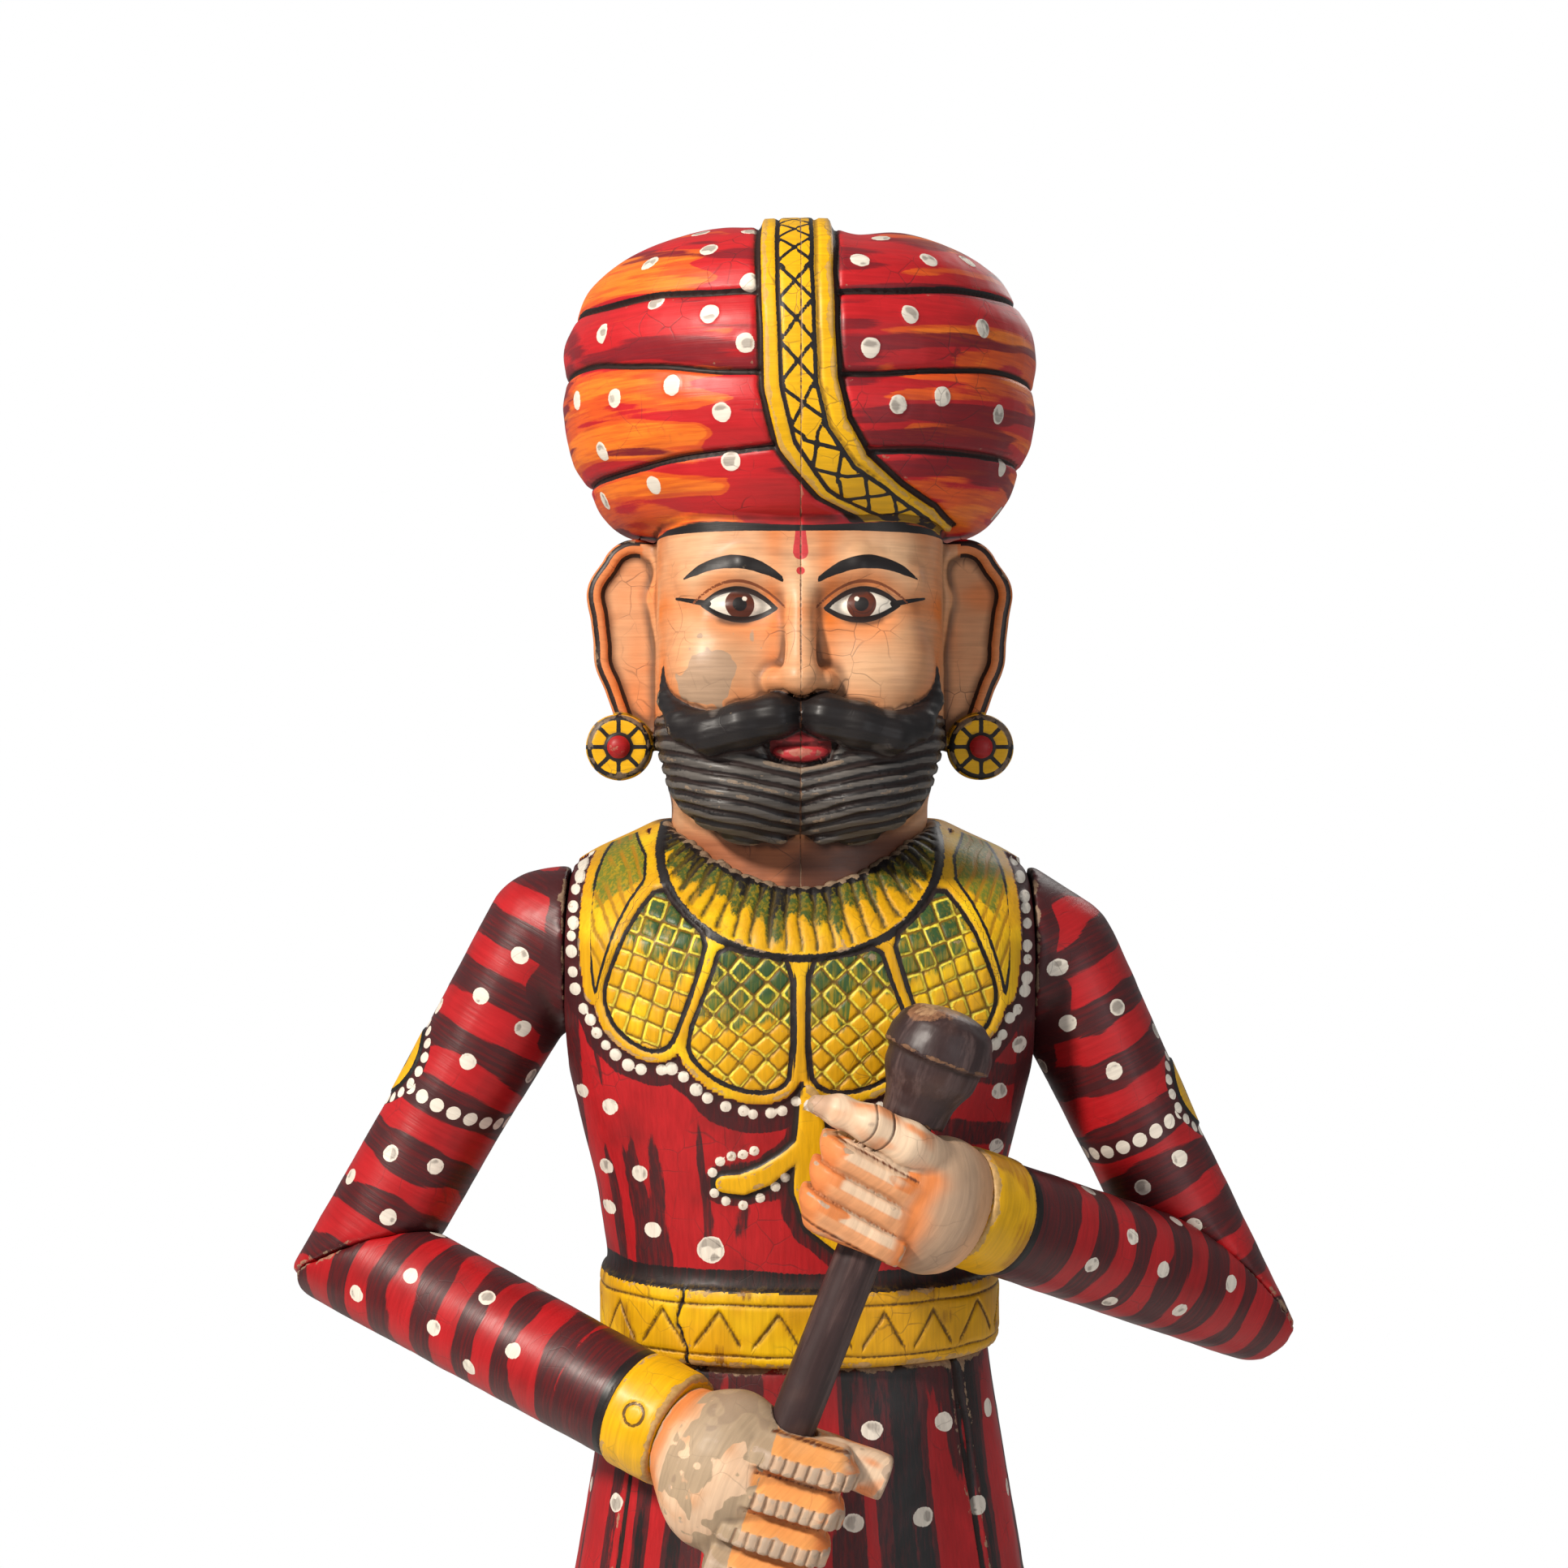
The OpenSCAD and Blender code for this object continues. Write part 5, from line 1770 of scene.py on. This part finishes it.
def make_mace():
    for node, voxel in (("mace_shaft", 2.4), ("mace_knob", 2.2)):
        is_knob = node == "mace_knob"
        piece = from_frame(node, voxel, 3)
        p = points_of(piece)
        run = (p - MACE_FOOT) @ MACE_DIR
        along = run[:, None] * MACE_DIR
        push(piece, knob_depth(p, run) if is_knob else 0.16 * clouds(p, 14, 111))
        shade = clouds(p, 20, 113)
        colour = coat(MACE, ("2A1C1E", 0.6 * fade(shade, 0, 0.6)), ("5A4038", 0.5 * fade(-shade, 0.2, 0.7)))
        # Pale rubbed wood on the knob's top: partly real wear, partly a painted highlight, stronger on the
        # figure's right where the key lamp falls. On the shaft it is random wear alone.
        top = fade(run, float(run.max()) - 16, float(run.max())) * is_knob
        lit = fade(-(p - MACE_FOOT - along)[:, 0], -6, 14)
        rub_and_highlight = 9 * (top * (0.4 + 0.7 * lit) + 0.6 * clouds(p, 14, 114) - 0.56)
        layers = [
            layer(6 * (clouds(p - along * 0.9, 8, 117) - 0.1), "54413F", 0.9, 0.9, 0.6),
            layer(rub_and_highlight, "8A6248", 0.9, 0.5, 0.4),
            layer(rub_and_highlight - 3.5, "B08A68", 0.9, 0.5, 0.4),
        ]
        looks = {"rough": 0.38, "chips": 0.5, "crackle": 0.1, "chip_colour": "8A6448"}
        finish(piece, node, "mace_paint", colour, layers, mace_strokes, body="mace", **looks)


def make_leg(side):
    name = SIDE_NAMES[side] + "_leg"
    piece = from_frame(name, 2.9, 4)
    p = points_of(piece)
    x, y = p[:, 0] - side * 62, p[:, 1]
    up = p[:, 2] - corners("plinth")[1][2]
    turn = np.arctan2(x, 8 - y)
    shoe = 40 + 5 * np.cos(turn) - up
    # Wrinkles round the ankle, and a raised shoe
    wrinkle = 5.5 - repeat(up + 3 * np.sin(turn) + 2 * noise(p, 18, 121), 11)
    folds = fade(-shoe, 2, 8) * fade(120 - up, 0, 60)
    depth = 0.4 * clouds(p, 18, 122) + 1.5 * folds * bump(wrinkle, 1.5)
    depth += 1.4 * fade(shoe, -0.8, 0.8) - 0.9 * bump(shoe, 1.0)
    push(piece, depth * fade(up, 0.5, 3))
    shade = clouds(p, 22, 123)
    colour = coat(YELLOW, (OCHRE, 0.4 + 0.4 * shade), (GREEN, 0.35 * fade(up, 150, 205)))
    strip = least(5.5 - np.abs(x), -24 - y) + 0.6 * noise(p, 9, 124)
    shoe_red = "4A1416"
    layers = [
        layer(least(1.1 - wrinkle, -shoe - 3) - 30 * (up > 130), "7A4A10", 0.8, 0.4, 0.5),
        layer(shoe, shoe_red, 0.3),
        layer(least(shoe, strip), YELLOW, 0.4),
        line(stripes(y - np.abs(x), 7.5), 0.8, shoe_red, least(shoe, strip - 0.8), 0.4),
        line(np.abs(x) - 10, 0.7, YELLOW, least(shoe, -30 - y, up - 9), 0.4),
        layer(2.4 - np.abs(shoe - 3.5), YELLOW, 0.4),
        layer(1.0 - np.abs(shoe), BLACK, 0.4),
        layer(least(7 - up, shoe), BLACK, 0.4),
    ]
    finish(piece, name, "leg_paint", colour, layers, level_strokes, rough=0.42, chips=0.45, crackle=0.4)


def make_plinth():
    piece = from_frame("plinth", 3.4, 2, finer=())
    p = points_of(piece)
    z = p[:, 2]
    high = corners("plinth")[1]
    push(piece, 0.25 * clouds(p, 30, 131) * fade(z, 1, 4))
    edge = least(high[0] - np.abs(p[:, 0]), high[1] - np.abs(p[:, 1]))
    top = fade(z, high[2] - 3, high[2] - 1)
    on_top, on_side = top > 0.5, top < 0.5
    shade = clouds(p, 40, 132)
    colour = coat("3A1A18", ("5A2420", 0.5 + 0.5 * shade), ("6B2A22", 0.4 * top))
    from_edge = np.where(on_top, edge, high[2] - z)
    border = np.where(on_top, 2.2 - np.abs(edge - 16), -FAR)
    side_line = np.where(on_side & (edge < 3), 2.0 - np.abs(z - high[2] + 12), -FAR)
    layers = [
        layer(most(border, side_line), YELLOW, 0.6, 0.2, 0.3),
        layer(np.where(on_side & (z < 6), 5 - z, -FAR), BLACK, 0.6),
        layer(0.6 - 0.5 * from_edge + 2.4 * clouds(p, 26, 133), BARE, 0.9, 0.4, 0.3),
    ]
    looks = {"rough": 0.5, "chips": 0.08, "crackle": 0.3}
    finish(piece, "plinth", "plinth_paint", colour, layers, sideways_strokes, **looks)


def bare_wood():
    """Plain turned dowel: pale wood with long grain."""
    s = Nodes("bare_wood")
    grain = s.noise(s.add("ShaderNodeMapping", {"Vector": s.place, "Scale": (900, 900, 40)}), 0.6, 5.0, 0.6)
    s.look(
        Base_Color=s.blend(s.ramp(grain, 0.3, 0.7), whole("8A6238"), whole("C39A63")),
        Roughness=s.ramp(grain, 0.3, 0.7, 0.55, 0.75), Normal=s.bump(0.3, 0.0003, grain)
    )
    return s.material


def screw_steel():
    """Plain steel with fine turning marks and a little grime."""
    s = Nodes("screw_steel")
    marks = s.noise(s.add("ShaderNodeMapping", {"Vector": s.place, "Scale": (60, 60, 2500)}), 1.0, 3.0)
    darkening = s.noise(s.place, 300.0, 4.0)
    s.look(
        Base_Color=s.blend(s.ramp(darkening, 0.5, 0.7), whole("B5B2AC"), whole("6E655A")),
        Roughness=s.ramp(marks, 0.3, 0.7, 0.28, 0.48), Metallic=1.0
    )
    return s.material


def dress_joinery():
    wood, steel = bare_wood(), screw_steel()
    for name, node in frame["nodes"].items():
        if name.endswith(("dowel", "dowels", "pegs", "screws")):
            node.data.materials.clear()
            node.data.materials.append(steel if name.endswith("screws") else wood)


make_head()
make_torso()
make_skirt()
for each_side in SIDE_NAMES:
    make_upper_arm(each_side)
    make_forearm(each_side)
    make_hand(each_side)
    make_leg(each_side)
make_mace()
make_plinth()
dress_joinery()
